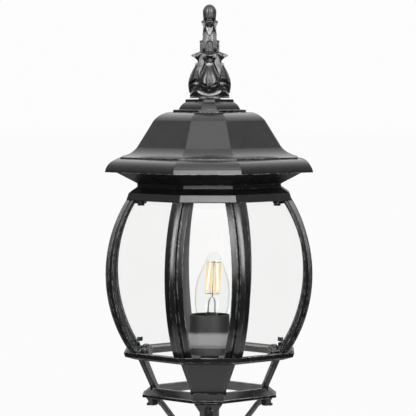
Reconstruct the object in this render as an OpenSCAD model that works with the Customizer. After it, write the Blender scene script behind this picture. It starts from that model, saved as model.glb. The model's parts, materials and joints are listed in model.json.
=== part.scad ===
// Pillar lamp: an octagonal lantern with an ogee roof, a bulging glass cage and four scroll legs.
// Millimetres, Z up, origin on the axis in the plane that the gasket rests on, front towards -Y.
// The octagon is a square with cut corners: narrow faces look front, back and sideways.
// Apothem means the distance from the axis to the middle of a narrow face.

/* [Foot] */
// Radius of the round mounting flange
foot_r = 66; // [60:1:80]
// Thickness of the mounting flange
foot_flange_t = 8; // [6:0.5:12]
// Height of the round column top above the ground
column_top_z = 64; // [58:1:70]
// Radius of the column that carries the legs
column_r = 19; // [17:0.5:24]
// Thickness of the rubber gasket
gasket_t = 2; // [1:0.5:4]
// Distance from the circle of mounting bolts to the edge of the flange
bolt_edge = 10; // [8:0.5:13]
// Diameter of a mounting bolt hole
bolt_hole_d = 7; // [5:0.5:9]
// Bore of the cable grommet
cable_bore_d = 10; // [7:0.5:13]

/* [Scroll legs] */
// Width of a leg bar
leg_w = 18; // [14:0.5:22]
// Thickness of a leg bar
leg_t = 4.6; // [4:0.2:6]
// Width of the block at the top of a leg
leg_block_w = 27.3; // [22:0.5:32]
// Height of the block at the top of a leg
leg_block_h = 5; // [4:0.5:7]

/* [Gallery] */
// Height of the underside of the lower ring above the ground
lip_z = 108.1; // [100:0.5:118]
// Height of the gallery casting
gallery_h = 46.6; // [40:0.5:54]
// Apothem of the lower ring at its lip
lower_a = 66.8; // [62:0.2:70]
// Apothem of the opening in the lower ring
lower_open_a = 52.3; // [50:0.2:54]
// Apothem of the upper ring at its top edge
upper_a = 84.8; // [82:0.1:90]
// Apothem of the opening in the upper ring
upper_open_a = 68; // [60:0.5:69]
// Thickness of the sloping strut plates
strut_t = 4.5; // [3:0.5:6]
// Half width of a strut at its upper end
strut_top_half = 27.8; // [22:0.2:28]
// Half width of a strut at its lower end
strut_foot_half = 16.1; // [12:0.2:20]

/* [Cage] */
// Height of the ribs from the gallery to the crown
cage_h = 152.2; // [140:0.5:165]
// Apothem of the cage faces at their widest
cage_a = 100.4; // [96:0.2:104]
// Apothem of the cage faces under the crown
cage_top_a = 80; // [78:0.2:81]
// Thickness of a rib flange
flange_t = 1.8; // [1.2:0.1:2.5]
// Width of a rib flange beside the corner
flange_w = 9.4; // [7:0.2:11]
// Width of the bead that runs along a rib
bead_w = 6; // [4:0.2:7]
// Height of the bead above the rib flanges
bead_h = 1.5; // [1:0.1:2]
// Thickness of the rib web between two panes
web_t = 3; // [2:0.2:4]
// Depth of the rib web behind the corner
web_depth = 6.2; // [5.8:0.2:9]
// Thickness of the glass
glass_t = 3; // [2:0.5:3.5]
// Gap around a pane
glass_gap = 0.3; // [0.1:0.1:0.6]

/* [Crown] */
// Height of the crown from the cage to the roof rim
crown_h = 28.1; // [26:0.1:32]
// Apothem of the collar at its lower edge
collar_a = 82.1; // [81.6:0.1:88]
// Apothem of the waist under the roof
waist_a = 71.2; // [70:0.2:73]
// Distance from the edge of the roof to the rim of the crown under it
soffit_inset = 11; // [8:0.2:14]
// Wall of the crown casting
crown_wall = 3; // [2.5:0.1:3.5]

/* [Roof] */
// Apothem of the roof rim
rim_a = 103; // [101:0.2:110]
// Wall of the roof casting
roof_wall = 3; // [2.5:0.1:3.5]
// Height of the straight roof slope
slope_h = 25.7; // [20:0.1:32]
// Width of the cove between the brim and the slope
cove_w = 16.7; // [14:0.1:18]
// How far the straight slope leans inwards
slope_run = 15.8; // [13:0.1:19]
// Apothem of the lower cap plate
cap_plate_a = 36.2; // [34:0.1:40]
// Apothem of the top plate under the finial
top_plate_a = 24; // [22.5:0.1:27]
// Height of the curved cap between the two plates
cap_h = 7.9; // [6:0.1:10]

/* [Finial] */
// Height of the finial
finial_h = 93.3; // [85:0.1:100]
// Largest radius of the finial leaves
finial_r = 21.2; // [20:0.1:22]
// Diameter of the threaded stud that holds the roof
stud_d = 8; // [6:0.5:9]
// Running clearance of the finial on the stud, on the radius
stud_gap = 0.05; // [0.02:0.01:0.1]

/* [Lampholder and bulb] */
// Outer diameter of the lampholder cup
cup_d = 40; // [38:0.5:44]
// Height of the cup rim above the ground
cup_rim_z = 190.2; // [184:0.2:196]
// Height of the cup
cup_h = 40; // [38:0.5:46]
// Wall of the cup
cup_wall = 1.5; // [1:0.1:2]
// Outer diameter of the threaded lamp pipe
pipe_d = 10; // [8:0.5:12]
// Bore of the lamp pipe
pipe_bore_d = 7.4; // [6:0.2:7.6]
// Lean of the lampholder and the bulb to the right, in degrees
bulb_lean = 2.9; // [0:0.1:3]
// Largest diameter of the bulb
bulb_d = 35; // [32:0.5:38]
// Length of the bulb's glass
bulb_glass_l = 73; // [66:0.5:80]
// Diameter of the bulb's screw cap
bulb_cap_d = 26.2; // [24:0.2:27]

/* [Hidden] */
$fn = 96;

black = "#232326";
brass = "#b89a52";
steel = "#b9bcc0";
clear = [0.86, 0.93, 0.92, 0.35];

// Corner half width divided by apothem, for each band of the lamp.
cage_share = 0.337;
roof_share = 0.312;
cap_plate_share = 0.276;
cap_share = 0.25;
top_plate_share = 0.225;
lower_share = 0.232;

// Heights of the joints between the castings.
ring_z = lip_z + gallery_h;
seat_z = ring_z - 1.5;
collar_z = seat_z + cage_h;
rim_z = collar_z + crown_h;
roof_seat_z = rim_z + 7.5;
far = 400;

// The bulging cage: one arc through the widest line and the collar.
mid_z = collar_z - 0.479 * cage_h;
cage_rise = collar_z - mid_z;
cage_bulge = cage_a - cage_top_a;
cage_r = (cage_rise * cage_rise + cage_bulge * cage_bulge) / (2 * cage_bulge);
cage_c = cage_a - cage_r;
wide_factor = (1 + cage_share) / sqrt(2);
wide_bulge = wide_factor * cage_bulge;
wide_r = (cage_rise * cage_rise + wide_bulge * wide_bulge) / (2 * wide_bulge);
wide_c = wide_factor * cage_a - wide_r;
corner_factor = sqrt(1 + cage_share * cage_share);
corner_bulge = corner_factor * cage_bulge;
corner_r = (cage_rise * cage_rise + corner_bulge * corner_bulge) / (2 * corner_bulge);
corner_c = corner_factor * cage_a - corner_r;
corner_turn = atan(cage_share);
function corner_at(z) = corner_c + sqrt(corner_r * corner_r - (z - mid_z) * (z - mid_z));
function web_at(z) = corner_c + sqrt(pow(corner_r - web_depth, 2) - (z - mid_z) * (z - mid_z));

// Screw pads at the two ends of a rib.
pad_r = 5.5;
pad_t = 3;
pad_inset = 13.2;
pad_top_x = corner_at(collar_z) - pad_inset;
pad_low_x = corner_at(seat_z) - pad_inset;
screw_r = 2;
screw_head_r = 3.4;
screw_head_h = 2.2;

// Points along an arc from one angle to another.
function arc(centre, r, from, to, steps) = [
    for (i = [0:steps])
        let (turn = from + (to - from) * i / steps)
            [centre[0] + r * cos(turn), centre[1] + r * sin(turn)]
];

// A solid between the two silhouettes [distance, height], mirrored about the axis.
module silhouette(points, factor) {
    right = [for (p = points) [p[0] * factor, p[1]]];
    left = [for (i = [len(points) - 1:-1:0]) [-points[i][0] * factor, points[i][1]]];
    rotate([90, 0, 0])
        linear_extrude(height = far, center = true)
            polygon(concat(right, left));
}

// An octagonal solid: points are [apothem, height] from the bottom to the top.
module octagonal(points, share) {
    intersection() {
        silhouette(points, 1);
        rotate([0, 0, 90]) silhouette(points, 1);
        rotate([0, 0, 45]) silhouette(points, (1 + share) / sqrt(2));
        rotate([0, 0, 135]) silhouette(points, (1 + share) / sqrt(2));
    }
}

// Four copies, one on each narrow face.
module on_faces() {
    for (i = [0:3])
        rotate([0, 0, i * 90])
            children();
}

// Copies at the eight corners, with the radial direction along X.
module at_corner(i) {
    rotate([0, 0, floor(i / 2) * 90])
        if (i % 2 == 0)
            rotate([0, 0, corner_turn]) children();
        else
            mirror([0, 1, 0]) rotate([0, 0, corner_turn]) children();
}

module at_corners() {
    for (i = [0:7])
        at_corner(i)
            children();
}

module tube(outer_r, inner_r, z0, z1) {
    translate([0, 0, z0])
        difference() {
            cylinder(r = outer_r, h = z1 - z0);
            translate([0, 0, -1]) cylinder(r = inner_r, h = z1 - z0 + 2);
        }
}

module hex_nut(flats, bore_r, h) {
    difference() {
        cylinder(d = flats / cos(30), h = h, $fn = 6);
        translate([0, 0, -1]) cylinder(r = bore_r, h = h + 2);
    }
}

// A pan-head screw with its head on top and its shank down to -length.
module pan_screw(r, head_r, head_h, length) {
    difference() {
        cylinder(r = head_r, h = head_h);
        for (turn = [0, 90])
            rotate([0, 0, turn])
                translate([-head_r * 0.6, -0.4, head_h - 1])
                    cube([head_r * 1.2, 0.8, 2]);
    }
    translate([0, 0, -length])
        cylinder(r = r, h = length + 0.5);
}

// Foot.

foot_top_z = gasket_t + foot_flange_t;
bolt_circle_r = foot_r - bolt_edge;
bolt_r = bolt_hole_d / 2;
cavity_r = bolt_circle_r - bolt_r - 6.5;
cavity_step = 10;
cavity_h = 16;
dome_z = foot_top_z + 10;
pipe_r = pipe_d / 2;
fit = 0.05;
leg_pad_z = 39;
leg_pad_h = 11;
leg_flat_a = column_r - 2;
entry_plate_t = 2;
entry_plate_z = gasket_t + 1;
entry_screw_r = cavity_r - cavity_step + 4.5;

module bolt_holes(z0, z1) {
    for (i = [0:3])
        rotate([0, 0, 45 + i * 90])
            translate([bolt_circle_r, 0, z0])
                cylinder(r = bolt_r, h = z1 - z0);
}

module base_gasket() {
    color("#2b2b2b")
        difference() {
            tube(foot_r - 1, cavity_r, 0, gasket_t);
            bolt_holes(-1, gasket_t + 1);
        }
}

module base_plate() {
    step_r = bolt_circle_r - bolt_r - 3.5;
    outline = concat(
        [[0, gasket_t], [foot_r, gasket_t]],
        arc([foot_r - 3, foot_top_z - 3], 3, 0, 90, 6),
        [[step_r, foot_top_z]],
        arc([step_r - 3, dome_z - 3], 3, 0, 90, 6),
        arc([column_r + 16, dome_z + 16], 16, 270, 180, 10),
        [[column_r, column_top_z - 2], [column_r - 2, column_top_z], [0, column_top_z]]
    );
    color(black)
        difference() {
            rotate_extrude() polygon(outline);
            translate([0, 0, gasket_t - 1]) cylinder(r = cavity_r, h = entry_plate_t + 2);
            translate([0, 0, gasket_t]) cylinder(r = cavity_r - cavity_step, h = cavity_h);
            cylinder(r = pipe_r + fit, h = column_top_z + 1);
            bolt_holes(0, foot_top_z + 1);
            on_faces()
                translate([leg_flat_a, -leg_w, leg_pad_z - 1.5])
                    cube([10, 2 * leg_w, column_top_z]);
            on_faces()
                translate([leg_flat_a - 9, 0, leg_pad_z + leg_pad_h / 2])
                    rotate([0, 90, 0]) cylinder(r = screw_r + fit, h = 20);
            for (turn = [45, 225])
                rotate([0, 0, turn])
                    translate([entry_screw_r, 0, 0])
                        cylinder(r = screw_r + fit, h = foot_top_z - 1);
            translate([earth_x, earth_y, gasket_t + cavity_h - 1])
                cylinder(r = screw_r + fit, h = 4);
        }
}

module entry_plate() {
    color("#8f9296")
        difference() {
            translate([0, 0, entry_plate_z])
                cylinder(r = cavity_r - 0.5, h = entry_plate_t);
            translate([0, 14, 0]) cylinder(r = cable_bore_d / 2 + 2, h = 20);
            for (turn = [45, 225])
                rotate([0, 0, turn])
                    translate([entry_screw_r, 0, 0])
                        cylinder(r = screw_r + fit, h = 20);
        }
}

module entry_plate_screws() {
    color(steel)
        for (turn = [45, 225])
            rotate([0, 0, turn])
                translate([entry_screw_r, 0, entry_plate_z])
                    mirror([0, 0, 1]) pan_screw(screw_r, screw_head_r, 0.9, 5.5);
}

// Rubber ring in the entry plate, with a groove that takes the plate's edge.
module cable_grommet() {
    hole_r = cable_bore_d / 2 + 2;
    color("#1d1d1d")
        translate([0, 14, 0])
            difference() {
                union() {
                    tube(hole_r - fit, cable_bore_d / 2, entry_plate_z - 0.9, entry_plate_z + 4.4);
                    tube(hole_r + 2, cable_bore_d / 2, entry_plate_z - 0.9, entry_plate_z);
                    tube(hole_r + 2, cable_bore_d / 2, entry_plate_z + entry_plate_t,
                         entry_plate_z + 4.4);
                }
                cylinder(d = cable_bore_d, h = 20);
            }
}

pipe_nut_h = 4;
pipe_low_z = gasket_t + cavity_h - pipe_nut_h;
block_w = 30;
block_d = 14;
block_gap = 1.56;
block_y = block_d / 2 - sqrt(pow(cavity_r - cavity_step - block_gap, 2) - pow(block_w / 2, 2));
wire_r = 0.9;
wire_z = pipe_low_z - wire_r - 0.6;
wire_top_z = cup_rim_z - cup_h + 7.5;
earth_x = -26;
tag_t = 0.8;

// Three-way terminal block, with a wire hole and a screw hole for each way.
module terminal_block() {
    color("#d9d6cc")
        difference() {
            translate([-block_w / 2, block_y - block_d / 2, entry_plate_z + entry_plate_t])
                cube([block_w, block_d, 10]);
            for (i = [-1:1]) {
                translate([i * 9, block_y + block_d, wire_z])
                    rotate([90, 0, 0]) cylinder(r = wire_r + 0.3, h = 2 * block_d);
                translate([i * 9, block_y, wire_z])
                    cylinder(r = 1.8, h = 10);
            }
        }
}

module earth_screw() {
    color(brass)
        translate([earth_x, earth_y, gasket_t + cavity_h - tag_t])
            mirror([0, 0, 1]) pan_screw(screw_r, screw_head_r, screw_head_h, tag_t + 2.9);
}

// A straight length of wire with round ends.
module wire_run(from, to) {
    step = to - from;
    length = norm(step);
    translate(from) {
        sphere(r = wire_r);
        rotate([0, acos(step[2] / length), atan2(step[1], step[0])])
            cylinder(r = wire_r, h = length);
    }
    translate(to) sphere(r = wire_r);
}

module wire(points) {
    for (i = [1:len(points) - 1])
        wire_run(points[i - 1], points[i]);
}

wire_rise = [0, 0, wire_top_z - wire_z];
wire_x = 1.7;
wire_y = -1.2;
earth_y = 1.9;

// From its terminal across the cavity and up the lamp pipe.
module block_wire(side) {
    foot = [side * wire_x, wire_y, wire_z];
    wire([[side * 9, block_y + 3, wire_z], [side * 9, wire_y, wire_z], foot, foot + wire_rise]);
}

module live_wire() {
    color("#7a4a2b") block_wire(1);
}

module neutral_wire() {
    color("#2f5f9e") block_wire(-1);
}

// Up the lamp pipe from a ring tag under the earth screw.
module earth_wire() {
    tag_z = gasket_t + cavity_h - tag_t;
    tag_r = screw_head_r + 0.4;
    turn_x = earth_x + 8;
    color("#6f9a35") {
        wire([
            [0, earth_y, wire_top_z], [0, earth_y, wire_z], [turn_x, earth_y, wire_z],
            [turn_x, earth_y, tag_z + tag_t / 2 - wire_r]
        ]);
        translate([earth_x, earth_y, 0])
            tube(tag_r, screw_r + fit, tag_z, tag_z + tag_t);
        translate([earth_x + screw_r + 1, earth_y - 1.5, tag_z])
            cube([turn_x - earth_x, 3, tag_t]);
    }
}

// Scroll legs: a block under the ring, a bend, a straight run, a bend and an upright pad.

leg_slope = 36.9;
leg_bend_r = 11;
leg_low_bend_r = 34;
leg_block_out = lower_a - 3.6;
leg_block_in = leg_block_out - 14.6;
leg_top_z = lip_z - leg_block_h;
leg_screw_x = leg_block_out - 3.4;
bend_c = [leg_block_out - 6.9, leg_top_z - leg_bend_r];
low_x = leg_flat_a + leg_t / 2;
low_c_x = low_x + leg_low_bend_r;
bend_end = [bend_c[0] - leg_bend_r * cos(leg_slope), bend_c[1] + leg_bend_r * sin(leg_slope)];
low_start_x = low_c_x - leg_low_bend_r * cos(leg_slope);
run_l = (bend_end[0] - low_start_x) / sin(leg_slope);
low_start_z = bend_end[1] - run_l * cos(leg_slope);
low_c_z = low_start_z - leg_low_bend_r * sin(leg_slope);

// Side view of a leg bar, with the apothem along X and the height along Y.
module leg_side() {
    half = leg_t / 2;
    start_x = leg_block_out - 0.4;
    run_z = bend_c[1] + leg_bend_r;
    low_c = [low_c_x, low_c_z];
    turn = 180 - leg_slope;
    polygon(concat(
        [[start_x, run_z + half]],
        arc(bend_c, leg_bend_r + half, 90, turn, 8),
        arc(low_c, leg_low_bend_r + half, turn, 180, 8),
        [[low_x - half, leg_pad_z], [low_x + half, leg_pad_z]],
        arc(low_c, leg_low_bend_r - half, 180, turn, 8),
        arc(bend_c, leg_bend_r - half, turn, 90, 8),
        [[start_x, run_z - half]]
    ));
}

module scroll_leg() {
    color(black)
        rotate([0, 0, -90])
            difference() {
                union() {
                    rotate([90, 0, 0])
                        linear_extrude(height = leg_w, center = true) leg_side();
                    translate([0, 0, leg_top_z])
                        linear_extrude(height = leg_block_h)
                            polygon([
                                [leg_block_out, -leg_block_w / 2],
                                [leg_block_out, leg_block_w / 2],
                                [leg_block_out - 6, leg_block_w / 2],
                                [leg_block_in, leg_w / 2],
                                [leg_block_in, -leg_w / 2],
                                [leg_block_out - 6, -leg_block_w / 2]
                            ]);
                }
                translate([leg_screw_x, 0, leg_top_z - leg_t])
                    cylinder(r = screw_r + fit, h = 20);
                translate([leg_flat_a - 1, 0, leg_pad_z + leg_pad_h / 2])
                    rotate([0, 90, 0]) cylinder(r = screw_r + fit, h = 20);
            }
}

leg_screw_z = leg_top_z - leg_t / 2;

module leg_screws_top() {
    color(steel)
        on_faces()
            translate([leg_screw_x, 0, leg_screw_z])
                mirror([0, 0, 1]) pan_screw(screw_r, screw_head_r, screw_head_h, 12);
}

module leg_screws_base() {
    color(steel)
        on_faces()
            translate([leg_flat_a + leg_t, 0, leg_pad_z + leg_pad_h / 2])
                rotate([0, 90, 0]) pan_screw(screw_r, screw_head_r, screw_head_h, 10);
}

// Gallery: one casting with two octagonal rings and four strut plates.

lower_top_a = lower_a - 8.7;
lower_lip_h = 2.75;
lower_h = 11.4;
strut_top_a = upper_a - 12.6;
strut_foot_a = lower_top_a - 0.2;

module strut() {
    z0 = lip_z + lower_h - 1.5;
    z1 = ring_z - 5;
    rotate([0, 0, -90])
        intersection() {
            rotate([90, 0, 0])
                linear_extrude(height = far, center = true)
                    polygon([
                        [strut_foot_a, z0], [strut_top_a, z1],
                        [strut_top_a - strut_t, z1], [strut_foot_a - strut_t, z0]
                    ]);
            rotate([90, 0, 90])
                linear_extrude(height = far)
                    polygon([
                        [-strut_foot_half, z0], [strut_foot_half, z0],
                        [strut_top_half, z1], [-strut_top_half, z1]
                    ]);
        }
}

module gallery() {
    color(black)
        difference() {
            union() {
                difference() {
                    octagonal([
                        [strut_top_a + 1.3, ring_z - 7.7], [upper_a - 1.7, ring_z - 5.3],
                        [upper_a, ring_z]
                    ], cage_share);
                    octagonal([
                        [upper_open_a, ring_z - 9], [upper_open_a, ring_z - 4.6],
                        [upper_a - 3.2, ring_z - 0.7], [upper_a - 3.2, ring_z + 1]
                    ], cage_share);
                }
                at_corners() {
                    translate([pad_low_x, 0, ring_z - 7])
                        cylinder(r = pad_r + 1, h = seat_z - ring_z + 7);
                    translate([pad_low_x, -3, ring_z - 6.8])
                        cube([upper_open_a * corner_factor + 1 - pad_low_x, 6, 1.6]);
                }
                difference() {
                    octagonal([
                        [lower_a, lip_z], [lower_a, lip_z + lower_lip_h],
                        [lower_top_a, lip_z + lower_h]
                    ], lower_share);
                    octagonal([
                        [lower_open_a, lip_z - 1], [lower_open_a, lip_z + lower_h + 1]
                    ], lower_share);
                }
                on_faces() strut();
            }
            at_corners()
                translate([pad_low_x, 0, ring_z - 20])
                    cylinder(r = screw_r + fit, h = 30);
            on_faces()
                translate([leg_screw_x, 0, lip_z - 1])
                    cylinder(r = screw_r + fit, h = 7);
        }
}

// Cage ribs: two flanges that follow the faces, a bead on the corner and a web between the panes.

module face_shell(turn, centre, r, t, z0, z1) {
    intersection() {
        rotate([0, 0, turn])
            translate([centre, 0, mid_z])
                rotate([90, 0, 0])
                    difference() {
                        cylinder(r = r, h = far, center = true, $fn = 240);
                        cylinder(r = r - t, h = far + 2, center = true, $fn = 240);
                    }
        translate([0, -far / 2, z0])
            cube([far, far, z1 - z0]);
    }
}

module corner_strip(out, depth, w) {
    intersection() {
        translate([corner_c, 0, mid_z])
            rotate([90, 0, 0])
                difference() {
                    cylinder(r = corner_r + out, h = w, center = true, $fn = 240);
                    cylinder(r = corner_r - depth, h = w + 2, center = true, $fn = 240);
                }
        translate([0, -w, seat_z])
            cube([far, 2 * w, cage_h]);
    }
}

module rib(i) {
    color(black)
        at_corner(i)
            difference() {
                union() {
                    intersection() {
                        face_shell(-corner_turn, cage_c, cage_r, flange_t, seat_z, collar_z);
                        translate([0, -flange_w, 0]) cube([far, flange_w, far]);
                    }
                    intersection() {
                        face_shell(45 - corner_turn, wide_c, wide_r, flange_t, seat_z, collar_z);
                        cube([far, flange_w, far]);
                    }
                    corner_strip(bead_h * 0.6, 1.6, bead_w);
                    corner_strip(bead_h, 1.6, bead_w - 1.6);
                    corner_strip(0, web_depth, web_t);
                    for (pad = [[pad_top_x, collar_z - pad_t], [pad_low_x, seat_z]]) {
                        translate([pad[0], 0, pad[1]]) cylinder(r = pad_r, h = pad_t);
                        translate([pad[0], -web_t / 2, pad[1]])
                            cube([pad_inset - 4, web_t, pad_t]);
                    }
                }
                translate([pad_top_x, 0, collar_z - 10]) cylinder(r = screw_r + fit, h = 20);
                translate([pad_low_x, 0, seat_z - 5]) cylinder(r = screw_r + fit, h = 20);
            }
}

module rib_screws_top() {
    color(steel)
        at_corners()
            translate([pad_top_x, 0, collar_z - pad_t])
                mirror([0, 0, 1]) pan_screw(screw_r, screw_head_r, screw_head_h, pad_t + 2.5);
}

module rib_screws_bottom() {
    color(steel)
        at_corners()
            translate([pad_low_x, 0, seat_z + pad_t])
                pan_screw(screw_r, screw_head_r, screw_head_h, pad_t + 5);
}

// A pane between two ribs, with its edges parallel to their webs.
module pane(half_turn, centre, r) {
    edge = web_t / 2 + glass_gap;
    apex = edge / sin(half_turn);
    color(clear)
        intersection() {
            face_shell(0, centre, r - flange_t - 0.2, glass_t,
                       seat_z + glass_gap, collar_z - glass_gap);
            linear_extrude(height = far)
                polygon([
                    [apex, 0],
                    [apex + far * cos(half_turn), -far * sin(half_turn)],
                    [apex + far * cos(half_turn), far * sin(half_turn)]
                ]);
        }
}

module narrow_glass(i) {
    rotate([0, 0, -90 + i * 90])
        pane(corner_turn, cage_c, cage_r);
}

module wide_glass(i) {
    rotate([0, 0, -45 + i * 90])
        pane(45 - corner_turn, wide_c, wide_r);
}

// Sprung clips across the inner edges of the ribs, low down, that hold the panes.
module glass_clips() {
    clip_w = 11;
    clip_t = 0.8;
    clip_h = 4;
    clip_reach = 3.6;
    clip_z = seat_z + 7.5;
    color(black)
        at_corners()
            translate([web_at(clip_z) - clip_reach - fit, 0, clip_z]) {
                translate([0, -clip_w / 2, 0]) cube([clip_t, clip_w, clip_h]);
                translate([0, -1, 0]) cube([clip_reach, 2, clip_h]);
            }
}

// Crown: collar, waist and soffit in one casting, with a seat for the roof.

soffit_a = rim_a - soffit_inset;
collar_top_z = collar_z + 7.4;
waist_z = collar_z + 13.2;
soffit_z = collar_z + 16.8;
crown_open_a = 64;
crown_floor_t = 3;

module crown() {
    inner_a = waist_a - crown_wall;
    color(black)
        difference() {
            octagonal([
                [collar_a, collar_z], [collar_a - 2.5, collar_top_z], [waist_a, waist_z],
                [waist_a, soffit_z], [soffit_a, rim_z], [soffit_a, roof_seat_z]
            ], cage_share);
            octagonal([
                [collar_a - 4, collar_z + crown_floor_t], [collar_a - 5, collar_top_z - 1],
                [inner_a, waist_z - 1], [inner_a, soffit_z + 1.5],
                [soffit_a - crown_wall, rim_z + 1.5], [soffit_a - crown_wall, roof_seat_z + 1]
            ], cage_share);
            octagonal([
                [crown_open_a, collar_z - 1], [crown_open_a, collar_z + crown_floor_t + 1]
            ], cage_share);
            at_corners()
                translate([pad_top_x, 0, collar_z - 1])
                    cylinder(r = screw_r + fit, h = crown_floor_t + 2);
            for (side = [-1, 1])
                translate([side * bridge_screw_x, 0, collar_z - 1])
                    cylinder(r = screw_r + fit, h = crown_floor_t + 2);
        }
}

bridge_t = 4;
bridge_w = 22;
bridge_half = crown_open_a + 8;
bridge_screw_x = crown_open_a + 4;
bridge_z = collar_z + crown_floor_t;
stud_r = stud_d / 2;
stud_nut_t = 4;

module stud_bridge() {
    color("#9a9da1")
        difference() {
            translate([-bridge_half, -bridge_w / 2, bridge_z])
                cube([2 * bridge_half, bridge_w, bridge_t]);
            translate([0, 0, bridge_z - 1]) cylinder(r = stud_r + fit, h = bridge_t + 2);
            for (side = [-1, 1])
                translate([side * bridge_screw_x, 0, bridge_z - 1])
                    cylinder(r = screw_r + fit, h = bridge_t + 2);
        }
}

module bridge_screws() {
    color(steel)
        for (side = [-1, 1])
            translate([side * bridge_screw_x, 0, bridge_z + bridge_t])
                pan_screw(screw_r, screw_head_r, screw_head_h, bridge_t + 2.5);
}

// Roof: brim, step, cove, slope and shoulder, then the stepped cap, as one hollow casting.

brim_r = 15;
step_a = rim_a - brim_r;
slope_foot_a = step_a - cove_w;
slope_head_a = slope_foot_a - slope_run;
brim_top_z = rim_z + 13.2;
step_top_z = brim_top_z + 1.6;
slope_z = step_top_z + 10;
shoulder_z = slope_z + slope_h;
shoulder_top_z = shoulder_z + 8.4;
cap_plate_z = shoulder_top_z + 0.3;
cap_z = cap_plate_z + 2.3;
top_plate_z = cap_z + cap_h;
roof_top_z = top_plate_z + 2.5;

// Concave cove between the step and the slope.
cove_r = 28;
cove_points = arc([slope_foot_a + 21.84, slope_z + 17.5], cove_r, 259.4, 218.8, 10);
// Convex shoulder between the slope and the flat under the cap.
shoulder_points = arc([slope_head_a - 18.2, shoulder_z - 14.2], 23.1, 37.9, 78, 8);
brim_points = arc([step_a, brim_top_z - brim_r], brim_r, 6.9, 90, 10);

module roof() {
    head_a = slope_head_a - roof_wall * 1.2;
    ledge_z = roof_seat_z;
    color(black)
        difference() {
            union() {
                octagonal(concat(
                    brim_points,
                    [[step_a, step_top_z - 0.01]],
                    cove_points,
                    shoulder_points
                ), roof_share);
                octagonal([
                    [cap_plate_a, shoulder_top_z - 3], [cap_plate_a, cap_z]
                ], cap_plate_share);
                octagonal(concat(
                    [[cap_plate_a - 5.8, cap_z - 1]],
                    arc([top_plate_a - 5.9, cap_z - 4.8], 13.2, 23, 62, 6),
                    [[top_plate_a, top_plate_z]]
                ), cap_share);
                octagonal([
                    [top_plate_a, top_plate_z - 1], [top_plate_a, roof_top_z]
                ], top_plate_share);
            }
            octagonal([
                [rim_a - roof_wall, rim_z - 1], [rim_a - roof_wall, rim_z + 2.5],
                [rim_a - 5.5, rim_z + 5.5], [rim_a - 8.5, ledge_z],
                [step_a - roof_wall, ledge_z], [step_a - roof_wall, brim_top_z - 1.5],
                [slope_foot_a + 5.5, slope_z - 6.5],
                [slope_foot_a - roof_wall - 0.6, slope_z],
                [head_a, shoulder_z], [head_a - 6, shoulder_z + 3.6],
                [cap_plate_a - roof_wall - 4, shoulder_top_z - 3]
            ], roof_share);
            octagonal([
                [cap_plate_a - roof_wall - 6, shoulder_top_z - 4],
                [cap_plate_a - roof_wall - 6, cap_z - 1],
                [top_plate_a - 3, top_plate_z - 1.5],
                [top_plate_a - 9, top_plate_z - 0.5]
            ], cap_share);
            translate([0, 0, top_plate_z - 4]) cylinder(r = stud_r + 0.5, h = 12);
        }
}

washer_t = 1;
washer_r = 11;
finial_z = roof_top_z + washer_t + 0.3;
bore_depth = 34;
stud_top_z = finial_z + bore_depth - 4;

module finial_washer() {
    color("#2b2b2b")
        tube(washer_r, stud_r + fit, roof_top_z, roof_top_z + washer_t);
}

module roof_stud() {
    color(steel)
        translate([0, 0, bridge_z - stud_nut_t - 1])
            cylinder(r = stud_r, h = stud_top_z - bridge_z + stud_nut_t + 1);
}

module stud_nuts() {
    color(steel)
        for (z = [bridge_z - stud_nut_t, bridge_z + bridge_t])
            translate([0, 0, z]) hex_nut(13, stud_r + fit, stud_nut_t);
}

// Finial: a carved casting of four tiers of leaves, as rings of points around the axis.
// Each table gives [height above the foot of the finial, size].

// Radius on the middle line of a leaf.
leaf_line = [
    [0, 19.4], [4.3, 19.9], [7.5, 20.7], [15, 21.2], [19, 20.2], [23, 18.7], [27, 16.6],
    [31, 14.8], [34.5, 14], [36.5, 14.4], [39, 16.6], [41.3, 18.1], [43, 17.2], [45, 15.3],
    [47, 11], [48.3, 10.2], [57, 10.2], [58.2, 8.4], [60.5, 6.7], [65, 7.4], [69, 6.8],
    [72, 7.4], [74.7, 9.9], [76.6, 7.2], [79, 6], [82, 6.3], [86, 6.9], [89.5, 6.1],
    [91.8, 4.2], [93, 1.9]
];
// Radius of the core in the gaps between the leaves.
core_line = [
    [0, 18.4], [5, 17.6], [9, 15.6], [15, 14.6], [21, 12.6], [27, 10.6], [34, 9], [41, 8.4],
    [47, 8], [52, 7], [58, 6.4], [65, 6.6], [69, 6.2], [74, 5.6], [79, 5.8], [82, 6.3],
    [86, 6.9], [89.5, 6.1], [91.8, 4.2], [93, 1.9]
];
// Half width of a leaf, in degrees.
leaf_width = [
    [0, 45], [4, 40], [10, 34], [15, 40], [21, 42], [26, 38], [31, 33], [36, 27], [41, 25],
    [47, 24], [49, 27], [56, 24], [58, 12], [62, 30], [69, 26], [74, 30], [79, 40], [93, 45]
];

function carved(line, h) = lookup(h, line) * finial_r / 21.2;

// How far a leaf stands out at a turn from its middle line: full, then falling to its edge.
function leaf_share(turn, width) = abs(turn) >= width ? 0 : pow(cos(90 * turn / width), 0.45);

// Hollow under the curled tip, and the two eyes beside the foot of each leaf.
function dent(h, turn, at_h, at_turn, half_h, half_turn, depth) =
    let (u = (h - at_h) / half_h, v = (abs(turn) - at_turn) / half_turn)
        u * u + v * v >= 1 ? 0 : depth * (1 - u * u - v * v);

function finial_radius(h, turn) =
    let (
        core = carved(core_line, h),
        leaf = carved(leaf_line, h),
        out = core + (leaf - core) * leaf_share(turn, lookup(h, leaf_width))
    )
        out - dent(h, turn, 37.6, 0, 2.8, 17, 5)
            - dent(h, turn, 15.2, 33, 2.6, 11, 4)
            - dent(h, turn, 7.6, 24, 2.2, 20, 2.4)
            - dent(h, turn, 72.2, 0, 2, 22, 1.8);

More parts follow.
